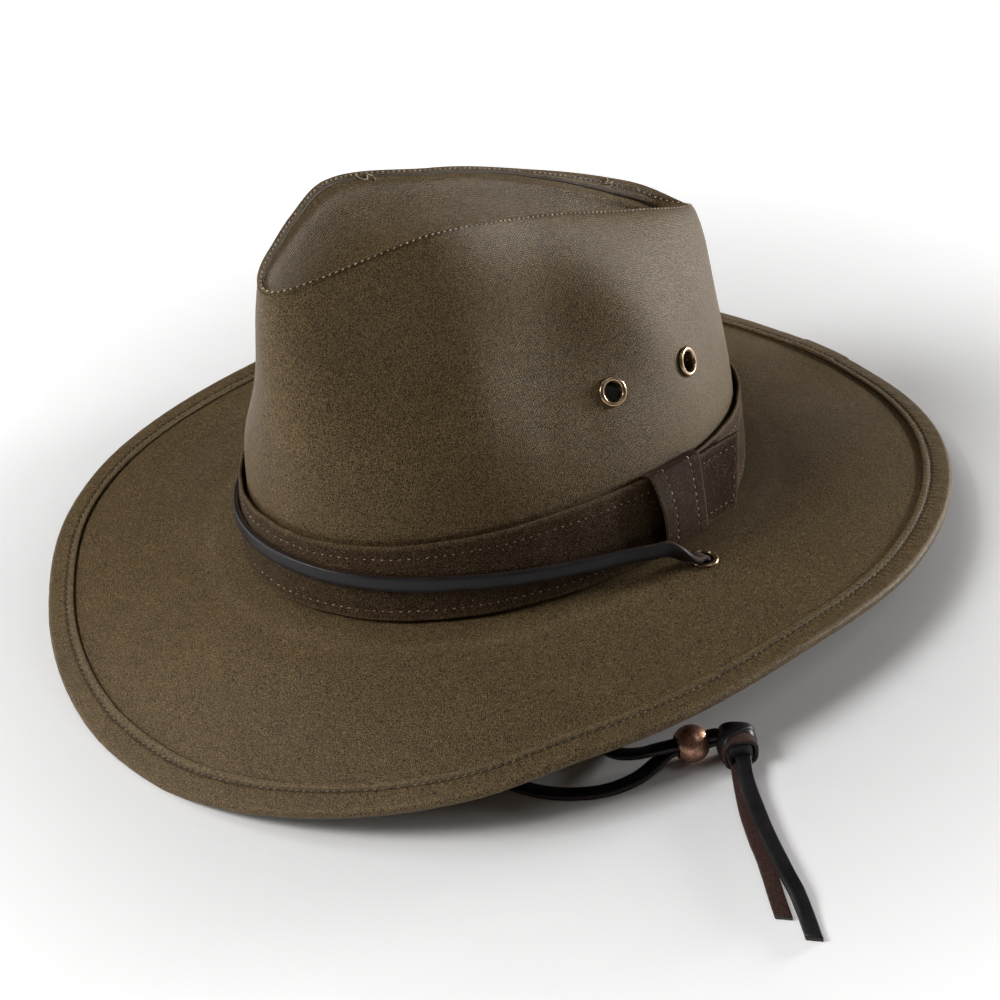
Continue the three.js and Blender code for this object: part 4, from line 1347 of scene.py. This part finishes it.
@dataclass
class Band:
    """Cloth band round the crown, its loose end and the loop that keeps it."""

    shape: HatShape
    height: float = 30.0
    wall: float = 1.4
    hem: float = 0.7
    keeper_width: float = 26.0
    keeper_wall: float = 1.0
    keeper_angle: float = 103.5
    keeper_foot: float = 2.6
    standoff: float = 4.0
    tail_length: float = 22.0
    tail_flare: float = 5.0
    tail_cut: float = 5.0
    tail_hem: float = 1.6
    round_steps: int = 460
    high_steps: int = 44
    groove_width: float = 0.6
    sewing: Sewing = Sewing(pitch=3.2, length=1.5, width=0.38)
    end_sewing: Sewing = Sewing(pitch=3.3, length=1.9, width=0.42)
    keeper_sewing: Sewing = Sewing(pitch=2.9, length=1.7, width=0.5, lift=0.12)

    KEEPER_THREAD = SewingThread("keeper_thread_finish", (0.6, 0.48, 0.33), (0.2, 0.14, 0.085))

    @property
    def out(self) -> float:
        """Distance of the band's back from the side panel."""
        return self.keeper_wall + 2 * GAP

    @property
    def tail_out(self) -> float:
        """Distance of the loose end's back from the side panel."""
        return self.out + self.wall + GAP

    @property
    def keeper_out(self) -> float:
        """Distance of the loop's inner face from the side panel."""
        return self.tail_out + self.wall + GAP

    def degrees(self, length: float) -> float:
        """Degrees round the crown's side that a length along the band takes."""
        return math.degrees(length / (self.shape.head_width / 2 + self.out))

    def grooves(self, height: Array, rows: tuple[float, float], depth: float) -> Array:
        """Depth of the two sewn grooves at each height, a bell over each row."""
        return depth * sum(bump(height, row, self.groove_width) for row in rows)

    def hems(self, height: Array) -> Array:
        """How close each height is to the cloth's lower or upper edge, from 0 to 1."""
        return bump(height, height[0, 0], 0.9) + bump(height, height[0, -1], 0.9)

    def sewn(
        self,
        face: Array,
        normal: Array,
        height: Array,
        rows: tuple[float, float],
        part: slice = slice(None),
    ) -> MeshParts:
        """Stitch rows along the columns of a face's grid that are nearest to two heights.

        Args:
            face: Grid of points.
            normal: Unit normal of each point.
            height: Height of each column, as one row.
            rows: The two heights.
            part: Which of the grid's rows are sewn.

        Returns:
            Both rows as one mesh.
        """
        columns = [np.argmin(np.abs(height[0] - row)) for row in rows]
        low, high = (stitches(face[part, at], normal[part, at], self.sewing) for at in columns)
        return low.joined(high)

    def ring(self, cloth: WaxedCloth) -> None:
        """Makes the band: a face with two sewn grooves, folded edges and a back."""
        shape = self.shape
        angle = np.linspace(0, 360, self.round_steps, endpoint=False)[:, None]
        low, high = GAP + self.hem, self.height - self.hem
        height = np.linspace(low, high, self.high_steps + 1)[None, :]
        rows = (4.5, self.height - 5.5)
        turn = np.radians(angle)
        waves = 0.16 * np.sin(17 * turn + height / 6) + 0.1 * np.sin(41 * turn)
        out = self.out + self.wall + waves - self.grooves(height, rows, 0.28)
        face = shape.off_wall(angle, height, out)
        normal = shape.turned(grid_normals(face, True, face * [1, 1, 0]))
        face = shape.settled(face)
        parts = cloth_shell(face, normal, self.wall, True, 0.5 * self.hems(height), 0.5)
        piece = parts.make("band_cloth", cloth.build(), cloth.slot)
        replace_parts(piece, "hat_band")
        thread = SewingThread("band_thread_finish").build()
        self.sewn(face, normal, height, rows).make("band_stitches", thread, cloth.slot)

    def tail(self, cloth: WaxedCloth) -> None:
        """Makes the loose end, which stands off by the square of its way past the loop."""
        shape = self.shape
        keeper_end = self.keeper_angle + self.degrees(self.keeper_width) / 2
        start = self.keeper_angle - self.degrees(self.keeper_width) / 4
        end = keeper_end + self.degrees(self.tail_length)
        along = np.linspace(0, 1, 61)[:, None]
        height = np.linspace(self.tail_hem, self.height - self.tail_hem, 31)[None, :]
        cut = self.degrees(self.tail_cut) * (1 - height / self.height)
        angle = mix(start, end - cut, along)
        free = np.maximum(0, (angle - keeper_end) / (end - keeper_end))
        rows = (5.5, self.height - 5.0)
        out = self.tail_out + self.wall + self.tail_flare * free**2
        out = out - self.grooves(height, rows, 0.25)
        face = shape.off_wall(angle, height * np.ones_like(angle), out)
        normal = shape.turned(grid_normals(face, False, face * [1, 1, 0]))
        face = shape.settled(face)
        wear_and_highlight = 0.5 * self.hems(height) + 0.5 * bump(along, 1.0, 0.03)
        parts = cloth_shell(face, normal, self.wall, False, wear_and_highlight)
        piece = parts.make("band_end_cloth", cloth.build(), cloth.slot)
        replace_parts(piece, "band_tail")
        thread = self.sewn(face, normal, height, rows, slice(22, 59))
        across = stitches(face[57, 4:27], normal[57, 4:27], self.end_sewing)
        finish = SewingThread("band_end_thread_finish").build()
        thread.joined(across).make("band_end_stitches", finish, cloth.slot)

    def keeper(self, cloth: WaxedCloth) -> None:
        """Makes the loop: up behind the band, over its top and down over its face.

        The outer line is given by height and distance from the wall. Its corners are rounded
        by averaging, and the face bows out towards the loop's front edge as a sine of height.
        """
        shape = self.shape
        half = self.degrees(self.keeper_width) / 2
        ends = (0.012, 0.988)
        along = np.linspace(*ends, 49)[:, None]
        angle = self.keeper_angle - half + 2 * half * along
        top = self.height + GAP + self.keeper_wall
        near, far = GAP, self.keeper_out + self.keeper_wall
        line = even_steps(np.array([(GAP, near), (top, near), (top, far), (self.keeper_foot, far)]), 90)
        line = levelled(line[None], np.ones(len(line) - 2), 6)
        height, out = line[..., 0], line[..., 1]
        lift = self.standoff * (1 - along) ** 1.5 * np.sin(np.pi * height / top)
        front = smooth_step(out, near, far)
        grooves = 0.25 * (bump(along, 0.25, 0.02) + bump(along, 0.78, 0.02)) * front
        face = shape.off_wall(angle, height, out + lift * front - grooves)
        middle = shape.off_wall(angle, np.full_like(angle, top / 2), (near + far) / 2)
        normal = shape.turned(grid_normals(face, False, face - middle))
        face = shape.settled(face)
        wear_and_highlight = 0.55 * (bump(along, ends[0], 0.02) + bump(along, ends[1], 0.02))
        parts = cloth_shell(face, normal, self.keeper_wall, False, wear_and_highlight)
        piece = parts.make("keeper_cloth", cloth.build(), cloth.slot)
        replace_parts(piece, "band_keeper")
        down = slice(48, 88)
        first, last = (
            stitches(face[at, down], normal[at, down], self.keeper_sewing) for at in (12, 37)
        )
        first.joined(last).make("keeper_stitches", self.KEEPER_THREAD.build(), cloth.slot)


@dataclass
class Lace:
    """The flat leather lace: its held stretch, free strands, bead, knot and tails."""

    shape: HatShape
    eyelets: Eyelets
    band: Band
    width: float = 5.5
    thickness: float = 2.0
    bead_diameter: float = 13.6
    bead_bore: float = 8.4
    knot_width: float = 13.2
    knot_height: float = 12.5
    knot_turn: float = -35.0
    knot_squash: float = 0.95
    knot_swell: float = 0.8
    exit_depths: tuple[float, float] = (1.05, 5.05)
    held_steps: int = 300
    step: float = 1.4

    HELD = np.array(
        [(0, 0.6, 0), (0.35, 0.5, 0), (0.6, 0.36, 0), (0.8, 0.25, 0.14), (0.9, 0.2, 0.6), (1, 0.16, 1)]
    )
    DIVE = np.array(
        [(7, 3.6, 0.8), (3.6, 3.1, 1), (1.6, 2.4, 1), (0.3, 1.2, 1), (0, 0.3, 1), (0, -0.6, 1)]
    )
    LEFT_ROUTE = np.array(
        [
            (94.4, 15, 17), (94.2, 10.9, 8.5), (94, 2.4, 2.6), (94.4, -11.6, 1.02),
            (97, -27.6, 1.02), (102, -42.6, 1.02), (110, -54.6, 1.02), (120, -60.9, 1.05),
            (128, -61.2, 2), (135.4, -58.4, 4.3), (140.6, -55, 6.8), (144.1, -51, 7.8),
            (147.7, -44.3, 7.95), (150.3, -38.8, 8.1), (152, -36.6, 8.5), (154, -35.4, 8.6),
        ]
    )  # fmt: skip
    RIGHT_ROUTE = np.array(
        [
            (-94.4, 15, 17), (-93.6, 10.4, 8.5), (-90, 1.4, 2.6), (-80, -11.6, 1.02),
            (-64, -27.6, 1.02), (-42, -45.6, 1.02), (-16, -61.6, 1.02), (14, -76.6, 1.02),
            (44, -88.6, 1.02), (72, -95.6, 1.02), (95, -98.1, 1.02), (111, -96.6, 1.02),
            (123.2, -92, 1.02), (132.6, -84.8, 1.02), (139.2, -75.6, 1.02), (142.2, -65, 1.4),
            (143.3, -57.4, 3.5), (144.1, -51, 5.4), (147.7, -44.3, 5.6), (150.3, -38.8, 5.75),
            (152, -36.6, 6.1), (154, -35.4, 6.3),
        ]
    )  # fmt: skip
    LONG_TAIL = np.array(
        [
            (163.6, -35.2, 5.5), (166.6, -37.6, 5), (171.8, -42, 4.3), (178.3, -46.4, 3.65),
            (187.3, -51.9, 3.42), (194.6, -56.3, 3.4), (202, -60.4, 3.4), (209.5, -64.3, 3.4),
            (216.6, -68, 3.4), (223.2, -71.1, 3.1), (229.4, -74.4, 1.9), (235.4, -78, 1.15),
            (241.7, -82.1, 1.02),
        ]
    )  # fmt: skip
    SHORT_TAIL = np.array(
        [
            (163.6, -37.6, 3.2), (166.3, -39.8, 2.4), (169.9, -42.7, 1.4), (175.1, -46.8, 1.03),
            (182.6, -52.5, 1.02), (189.6, -57.2, 1.02), (196.7, -61.7, 1.02), (203.1, -65.4, 1.02),
            (209.8, -69.8, 1.02), (215.6, -73.7, 1.02), (221.4, -77.6, 1.02), (227.6, -81.6, 1.02),
        ]
    )  # fmt: skip
    BEAD_CENTRE = np.array([147.7, -44.3])
    BEAD_AXIS = np.array([0.48, 0.877, 0.0])
    KNOT_CENTRE = np.array([160.0, -34.1, 6.25])

    def section(self) -> Array:
        """Half of the lace's section and its mirror: a rectangle with rounded corners."""
        half, thin, corner = self.width / 2, self.thickness / 2, 0.5
        turn = np.radians([15, 45, 75])
        right = np.stack(
            [half - corner + corner * np.cos(turn), thin - corner + corner * np.sin(turn)], 1
        )
        left = right[::-1] * [-1, 1]
        upper = np.vstack([right, [[half / 3, thin]], [[-half / 3, thin]], left])
        return np.vstack([upper, upper[::-1] * [1, -1]])

    @staticmethod
    def carried(section: Array, path: Array, across: Array, face: Array) -> Array:
        """The section at each point of a path, along its two directions there."""
        wide, thick = section[None, :, :1] * across[:, None], section[None, :, 1:] * face[:, None]
        return path[:, None] + wide + thick

    def sweep(
        self,
        path: Array,
        across: Array,
        lowest: float | None,
        up_face: Face,
        slant: float = 0.0,
    ) -> MeshParts:
        """Carries the section along a path, with the direction of its width at each point.

        Args:
            path: Middle of the lace.
            across: Direction of the width at each point.
            lowest: Height that no point passes, or None.
            up_face: The face on the side that the section's second axis points to.
            slant: Lean of the cut at the far end, as a share of the way across.

        Returns:
            The mesh.
        """
        along = unit(np.gradient(path, axis=0))
        across = unit(across - along * np.sum(across * along, axis=1, keepdims=True))
        section = self.section()
        outlines = self.carried(section, path, across, np.cross(along, across))
        cut = 5
        late = np.clip(np.arange(len(path)) - (len(path) - 1 - cut), 0, cut)[:, None, None] / cut
        outlines = outlines + late * slant * section[None, :, :1] * along[:, None]
        if lowest is not None:
            outlines[..., 2] = np.maximum(outlines[..., 2], lowest)
        upper = section[:, 1] > 0
        flesh = upper if up_face is Face.FLESH else ~upper
        marks = {"flesh": np.broadcast_to(flesh.astype(float), outlines.shape[:2])}
        return loft(outlines, False, marks)

    def held_half(self, side: Side) -> tuple[Array, Array]:
        """Stations from the middle of the front to an eyelet, in the hat's frame.

        The lace lies on edge on the band's face, leaves it on a smooth curve, turns flat and
        dives into the eyelet.

        Returns:
            Points and width directions.
        """
        shape, band = self.shape, self.band
        sign = side.value
        point, out, up = self.eyelets.lace_place(side)
        share = 0.915 * np.linspace(0, 1, 23)
        height = band.height * read_table(self.HELD[:, 0], self.HELD[:, 1], share)
        leave = read_table(self.HELD[:, 0], self.HELD[:, 2], share)
        near = band.out + band.wall + GAP + self.thickness / 2
        distance = mix(near, self.eyelets.lace_reach, leave)
        angle = sign * share * self.eyelets.lace_angle
        place = shape.settled(shape.off_wall(angle, height, distance))
        high = shape.settled(shape.off_wall(angle, height + 1, distance))
        low = shape.settled(shape.off_wall(angle, height - 1, distance))
        along = np.cross(out, up) * -sign
        back, rise, flat = self.DIVE[:, :1], self.DIVE[:, 1:2], self.DIVE[:, 2:]
        dive = point - along * back + up * rise
        turned = mix(up, out, flat)
        return np.vstack([place, dive]), np.vstack([unit(high - low), unit(turned)])

    def held(self, leather: bpy.types.Material, slot: str) -> None:
        """Makes the stretch that the hat holds, from one eyelet round the front to the other."""
        right, right_width = self.held_half(Side.RIGHT)
        left, left_width = self.held_half(Side.LEFT)
        right_width = np.where(right_width[:, 2:] < 0, -right_width, right_width)
        points = np.vstack([right[:0:-1], left])
        widths = np.vstack([right_width[:0:-1], left_width])
        path = smooth_route(points, self.held_steps)
        coarse = lengths_along(points) / lengths_along(points)[-1]
        fine = np.linspace(0, 1, self.held_steps + 1)
        across = np.stack([np.interp(fine, coarse, widths[:, k]) for k in range(3)], axis=1)
        outward = path * np.array([1, 1, 0])
        facing = np.cross(unit(np.gradient(path, axis=0)), unit(across))
        up_face = Face.GRAIN if np.sum(facing * outward) > 0 else Face.FLESH
        piece = self.sweep(path, across, None, up_face).make("held_lace", leather, slot)
        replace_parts(piece, "lace_front")

    def free(
        self, name: str, route: Array, first: Array, up_face: Face, slant: float = 0.0
    ) -> tuple[MeshParts, Array]:
        """A free stretch that lies flat on the surface.

        Its width is level and square to its way, and turns to the given first direction where
        the lace is steep.

        Args:
            name: Name for the log.
            route: Points to pass.
            first: Direction of the width where the lace is steep.
            up_face: The face that looks up.
            slant: Lean of the cut at the far end.

        Returns:
            The mesh and its path.
        """
        path = smooth_route(route, int(lengths_along(route)[-1] / self.step))
        along = unit(np.gradient(path, axis=0))
        level = np.cross(np.array([0, 0, 1.0]), along)
        flat = smooth_step(np.linalg.norm(level, axis=1), 0.35, 0.9)[:, None]
        level = unit(level)
        first = first if np.dot(first, level[len(level) // 3]) > 0 else -first
        across = unit(mix(first[None, :], level, flat))
        LOG.info("%s: %.1f mm of lace", name, lengths_along(path)[-1])
        return self.sweep(path, across, 0.0, up_face, slant), path

    def bead(self, metal: AgedMetal) -> bpy.types.Object:
        """Makes the bead: a turned ball with a bore and softly rolled lips."""
        radius, bore = self.bead_diameter / 2, self.bead_bore / 2
        lip = math.acos(bore / radius)
        turn = np.linspace(-lip * 0.94, lip * 0.94, 25)
        ball = np.stack([radius * np.cos(turn), radius * np.sin(turn)], axis=1)
        depth = radius * math.sin(lip)
        inside = np.array([(bore + 0.1, depth - 0.05), (bore, depth - 0.5), (bore, 0.0)])
        inside = np.vstack([inside, inside[1::-1] * [1, -1]])
        steps = 64
        parts = lathe(np.vstack([ball, inside]), steps)
        worn = np.concatenate([np.full(len(ball), 0.35), np.zeros(len(inside))])
        parts.marks = {"wear_and_highlight": np.tile(worn, steps)}
        centre = np.array([*self.BEAD_CENTRE, radius])
        parts = set_on(parts, centre, unit(self.BEAD_AXIS))
        piece = parts.make("lace_bead_ball", metal.build(), metal.slot)
        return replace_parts(piece, "lace_bead")

    def lump(self, half: float, steps: int = 24) -> MeshParts:
        """The knot's core: outlines of a squarish ball along its X axis.

        The ball holds each point whose coordinates' fourth powers add up to that of its half.
        """
        x = np.linspace(-0.97, 0.97, steps)[:, None, None]
        turn = np.linspace(0, 2 * np.pi, 48, endpoint=False)[None, :, None]
        round_part = (np.cos(turn) ** 4 + np.sin(turn) ** 4) ** -0.25 * (1 - x**4) ** 0.25
        outlines = half * np.concatenate(
            [x + 0 * turn, round_part * np.cos(turn), round_part * np.sin(turn)], axis=2
        )
        marks = {"flesh": np.zeros(outlines.shape[:2])}
        return loft(outlines, False, marks)

    def turn_of_lace(
        self, along: float, size: float, lean: float, tip: float, flesh_out: bool
    ) -> MeshParts:
        """One turn of lace round the knot's core, about its X axis, squarish like the core.

        Args:
            along: Place of the turn's middle along the axis.
            size: Half width of the turn, at the middle of the lace.
            lean: Degrees by which the turn is swung about the vertical.
            tip: Degrees by which it is tipped about the level line across the knot.
            flesh_out: Whether the lace's rough side looks outwards.

        Returns:
            The turn, in the knot's own frame.
        """
        turn = np.linspace(0, 2 * np.pi, 96, endpoint=False)[:, None]
        cos, sin = np.cos(turn), np.sin(turn)
        round_part = (np.abs(cos) ** 3 + np.abs(sin) ** 3) ** (-1 / 3)
        wobble = 0.35 * np.sin(2 * turn)
        path = np.hstack([along + wobble, size * round_part * cos, size * round_part * sin])
        swing = np.array(Matrix.Rotation(math.radians(lean), 3, "Z"))
        swing = swing @ np.array(Matrix.Rotation(math.radians(tip), 3, "Y"))
        path = path @ swing.T
        ahead = unit(np.roll(path, -1, axis=0) - np.roll(path, 1, axis=0))
        across = swing @ np.array([1.0, 0.0, 0.0]) + 0.1 * np.sin(turn) * ahead
        across = unit(across - ahead * np.sum(across * ahead, axis=1, keepdims=True))
        face = np.cross(ahead, across)
        face = np.where(np.sum(face * path, axis=1, keepdims=True) < 0, -face, face)
        section = self.section() * [0.98, 0.8]
        outlines = self.carried(section, path, across, face)
        outer = section[:, 1] > 0
        flesh = (outer if flesh_out else ~outer).astype(float)
        return loft(outlines, True, {"flesh": np.broadcast_to(flesh, outlines.shape[:2])})

    def knot(self, leather: bpy.types.Material, slot: str) -> bpy.types.Object:
        """Makes the knot: turns of lace drawn round a squarish core, in line with the tails.

        Each turn's row has its place along the axis, half width, two leans and whether its
        rough side looks out.
        """
        half = self.knot_width / 2
        made = self.lump(half - 1.1)
        turns = (
            (2.6, half - 1.0, 6.0, 0.0, True),
            (-3.3, half - 0.8, -8.0, 4.0, False),
            (0.2, half - 0.35, 34.0, -16.0, False),
        )
        for along, size, lean, tip, flesh_out in turns:
            made = made.joined(self.turn_of_lace(along, size, lean, tip, flesh_out))
        spin = np.array(Matrix.Rotation(math.radians(self.knot_turn), 3, "Z"))
        made.points = made.points @ spin.T * [1.0, 1.0, self.knot_squash] + self.KNOT_CENTRE
        made.points[:, 2] = np.clip(made.points[:, 2], 0.0, self.knot_height + self.knot_swell)
        piece = made.make("knot_turns", leather, slot)
        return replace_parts(piece, "lace_knot")

    def build(self, leather: LaceLeather, metal: AgedMetal) -> None:
        """Makes the lace: its bead, knot, held stretch, free strands and tails."""
        material = leather.build()
        bead, knot = self.bead(metal), self.knot(material, leather.slot)
        self.held(material, leather.slot)
        strands = ((Side.LEFT, self.LEFT_ROUTE, [bead, knot]), (Side.RIGHT, self.RIGHT_ROUTE, []))
        for side, route, pieces in strands:
            name = side.name.lower()
            place, out, up = self.eyelets.lace_place(side)
            below = [place - up * depth for depth in self.exit_depths]
            points = np.vstack([*below, route])
            parts, path = self.free(f"strand_{name}", points, out, Face.GRAIN)
            piece = parts.make(f"strand_{name}", material, leather.slot)
            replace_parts(piece, f"lace_{name}")
        tails = (("long", self.LONG_TAIL, Face.GRAIN), ("short", self.SHORT_TAIL, Face.FLESH))
        for name, route, up_face in tails:
            first = np.array([0.5, 0.85, 0.0])
            parts, path = self.free(f"tail_{name}", route, first, up_face, 0.4)
            piece = parts.make(f"tail_{name}", material, leather.slot)
            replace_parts(piece, f"lace_tail_{name}")


# Studio


@dataclass
class Studio:
    """Camera at the photograph's angle, pale floor and soft lights.

    Places are millimetres, and the lamps, floor and dome are sized in metres. A row of LAMPS
    has a name, degrees round the hat and above the floor, width and height, and the light.
    """

    place: tuple[float, float, float] = (704.0, -541.2, 618.3)
    back: tuple[float, float, float] = (0.6585, -0.5048, 0.5582)
    roll: float = 6.872
    lens: float = 99.11
    lamp_reach: float = 1.6
    lamp_aim: float = 0.08
    floor_half: float = 14.0
    dome_radius: float = 13.0

    LAMPS = (
        ("left_low_strip", (-50, 7), (0.9, 0.3), 0.35),
        ("front_softbox", (-22, 40), (0.7, 0.6), 2.4),
        ("back_low_strip", (162, 4), (0.45, 0.2), 3.15),
        ("right_softbox", (122, 48), (0.7, 0.6), 0.2),
        ("top_softbox", (-75, 62), (0.8, 0.8), 0.5),
    )

    def camera(self) -> None:
        """Sets the camera: its back vector, rolled about itself so that the picture leans."""
        back = unit(np.array(self.back))
        right = unit(np.cross(np.array([0, 0, 1.0]), back))
        up = np.cross(back, right)
        cos, sin = math.cos(math.radians(self.roll)), math.sin(math.radians(self.roll))
        turned = (cos * right - sin * up, sin * right + cos * up, back)
        data = bpy.data.cameras.new("camera")
        data.lens, data.sensor_width = self.lens, 36.0
        data.clip_start, data.clip_end = 0.05, 50.0
        camera = bpy.data.objects.new("camera", data)
        matrix = Matrix.Identity(4)
        for column, axis in enumerate(turned):
            for row in range(3):
                matrix[row][column] = axis[row]
        matrix.translation = Vector(self.place) * MM
        camera.matrix_world = matrix
        bpy.context.scene.collection.objects.link(camera)
        bpy.context.scene.camera = camera

    def lamp(
        self, name: str, way: tuple[float, float], size: tuple[float, float], light: float
    ) -> None:
        """Adds a soft lamp that looks at the hat, at one distance for all lamps.

        Args:
            name: The lamp's name.
            way: Degrees round the hat from its front, and degrees above the floor.
            size: Width and height in metres.
            light: Watts for each square metre that reach a sheet facing it at the hat.
        """
        data = bpy.data.lights.new(name, "AREA")
        data.shape, data.size, data.size_y = "RECTANGLE", *size
        data.energy = light * math.pi * self.lamp_reach**2
        lamp = bpy.data.objects.new(name, data)
        turn, rise = map(math.radians, way)
        flat = math.cos(rise)
        towards = Vector((math.sin(turn) * flat, -math.cos(turn) * flat, math.sin(rise)))
        lamp.rotation_mode = "QUATERNION"
        lamp.rotation_quaternion = towards.to_track_quat("Z", "Y")
        lamp.location = towards * self.lamp_reach + Vector((0, 0, self.lamp_aim))
        lamp.visible_camera = False
        bpy.context.scene.collection.objects.link(lamp)

    def floor(self) -> None:
        """Makes the pale floor, which glows from a little way outside the hat, painted light that
        shines on the hat, and glows more far out, as a backdrop would.
        """
        half = self.floor_half
        mesh = bpy.data.meshes.new("floor")
        corners = [(-half, -half, 0), (half, -half, 0), (half, half, 0), (-half, half, 0)]
        mesh.from_pydata(corners, [], [(0, 1, 2, 3)])
        sheet = NodeSheet("floor_finish")
        paper = sheet.noise(60, 3.0)
        far = sheet.add("ShaderNodeVectorMath", operation="LENGTH")
        sheet.link(sheet.place["Object"], far.inputs[0])
        # Painted light: from 0.16 m out the floor glows and shines on the hat; under the hat it does
        # not glow.
        near_glow = sheet.spread(far.outputs["Value"], 0.16, 0.32, (0.0, 0.42))
        far_glow = sheet.spread(far.outputs["Value"], 0.8, 3.0, (0.0, 0.45))
        glow = sheet.math("ADD", near_glow, far_glow)
        mesh.materials.append(
            sheet.finish(
                Base_Color=sheet.blend(paper, (0.86, 0.86, 0.86), (0.9, 0.9, 0.9)),
                Roughness=0.9,
                Specular_IOR_Level=0.1,
                Emission_Color=(1.0, 1.0, 1.0),
                Emission_Strength=glow,
            )
        )
        floor = bpy.data.objects.new("floor", mesh)
        bpy.context.scene.collection.objects.link(floor)

    def backdrop(self) -> None:
        """Makes a pale dome far behind the floor, which is seen but sheds no light."""
        rise = np.radians(np.linspace(-10, 89, 24))
        outer = self.dome_radius * np.stack([np.cos(rise), np.sin(rise)], axis=1)
        inner = outer[::-1] * 0.99
        parts = lathe(np.vstack([outer, inner]), 48)
        mesh = bpy.data.meshes.new("backdrop")
        mesh.from_pydata(parts.points.tolist(), [], parts.quads.tolist())
        sheet = NodeSheet("backdrop_finish")
        haze = sheet.blend(sheet.noise(0.2, 1.0), (0.96, 0.96, 0.96), (1.0, 1.0, 1.0))
        mesh.materials.append(
            sheet.finish(Base_Color=(0.0, 0.0, 0.0), Emission_Color=haze, Emission_Strength=0.95)
        )
        dome = bpy.data.objects.new("backdrop", mesh)
        bpy.context.scene.collection.objects.link(dome)
        dome.visible_diffuse = dome.visible_glossy = dome.visible_shadow = False

    def light(self) -> None:
        """Sets the lamps, the sky and how tones are shown."""
        for name, way, size, light in self.LAMPS:
            self.lamp(name, way, size, light)
        world = bpy.data.worlds.new("sky")
        world.use_nodes = True
        sky = world.node_tree.nodes["Background"]
        sky.inputs["Color"].default_value = (1.0, 0.88, 0.82, 1.0)
        sky.inputs["Strength"].default_value = 0.05
        bpy.context.scene.world = world
        bpy.context.scene.view_settings.view_transform = "Standard"


def corners(box: tuple[Vector, Vector]) -> list[list[float]]:
    """A box's two corners as plain lists."""
    return [[float(x) for x in corner] for corner in box]


def main() -> None:
    """Builds the camera, the lace, the hat and the studio."""
    logging.basicConfig(level=logging.INFO, format="%(name)s %(message)s")
    studio = Studio()
    studio.camera()
    shape = HatShape()
    band, eyelets = Band(shape), Eyelets(shape)
    copper, brown = (0.56, 0.31, 0.21), (0.14, 0.06, 0.04)
    brass, tarnish = (0.46, 0.33, 0.2), (0.07, 0.042, 0.026)
    bead_metal = AgedMetal("bead_finish", "bead_metal", copper, brown, 480, 0.3)
    Lace(shape, eyelets, band).build(LaceLeather(), bead_metal)
    eyelets.build(AgedMetal("eyelet_finish", "eyelet_metal", brass, tarnish, 500, 0.22))
    crown = Crown(shape)
    crown.side(WaxedCloth("crown_side_finish", "waxed_cloth"), eyelets)
    crown.tip(WaxedCloth("crown_tip_finish", "waxed_cloth"))
    brim = Brim(shape)
    brim.sheet(WaxedCloth("brim_finish", "waxed_cloth"), eyelets)
    brim.binding(WaxedCloth("binding_finish", "binding_cloth", rubbed_and_highlight=(0.22, 0.16, 0.09)))
    # Painted shade: the band, its loose end and the keeper take darker copies of the crown's waxed
    # cloth.
    dark = {"deep": (0.012, 0.007, 0.0045), "pale": (0.085, 0.054, 0.029), "gloss": 0.05}
    darker = {"deep": (0.006, 0.003, 0.002), "pale": (0.055, 0.03, 0.0165), "gloss": 0.03}
    band.ring(WaxedCloth("band_finish", "waxed_cloth", **dark))
    band.tail(WaxedCloth("band_end_finish", "waxed_cloth", **darker))
    band.keeper(WaxedCloth("keeper_finish", "waxed_cloth", **darker))
    studio.floor()
    studio.backdrop()
    studio.light()


if __name__ == "__main__":
    main()
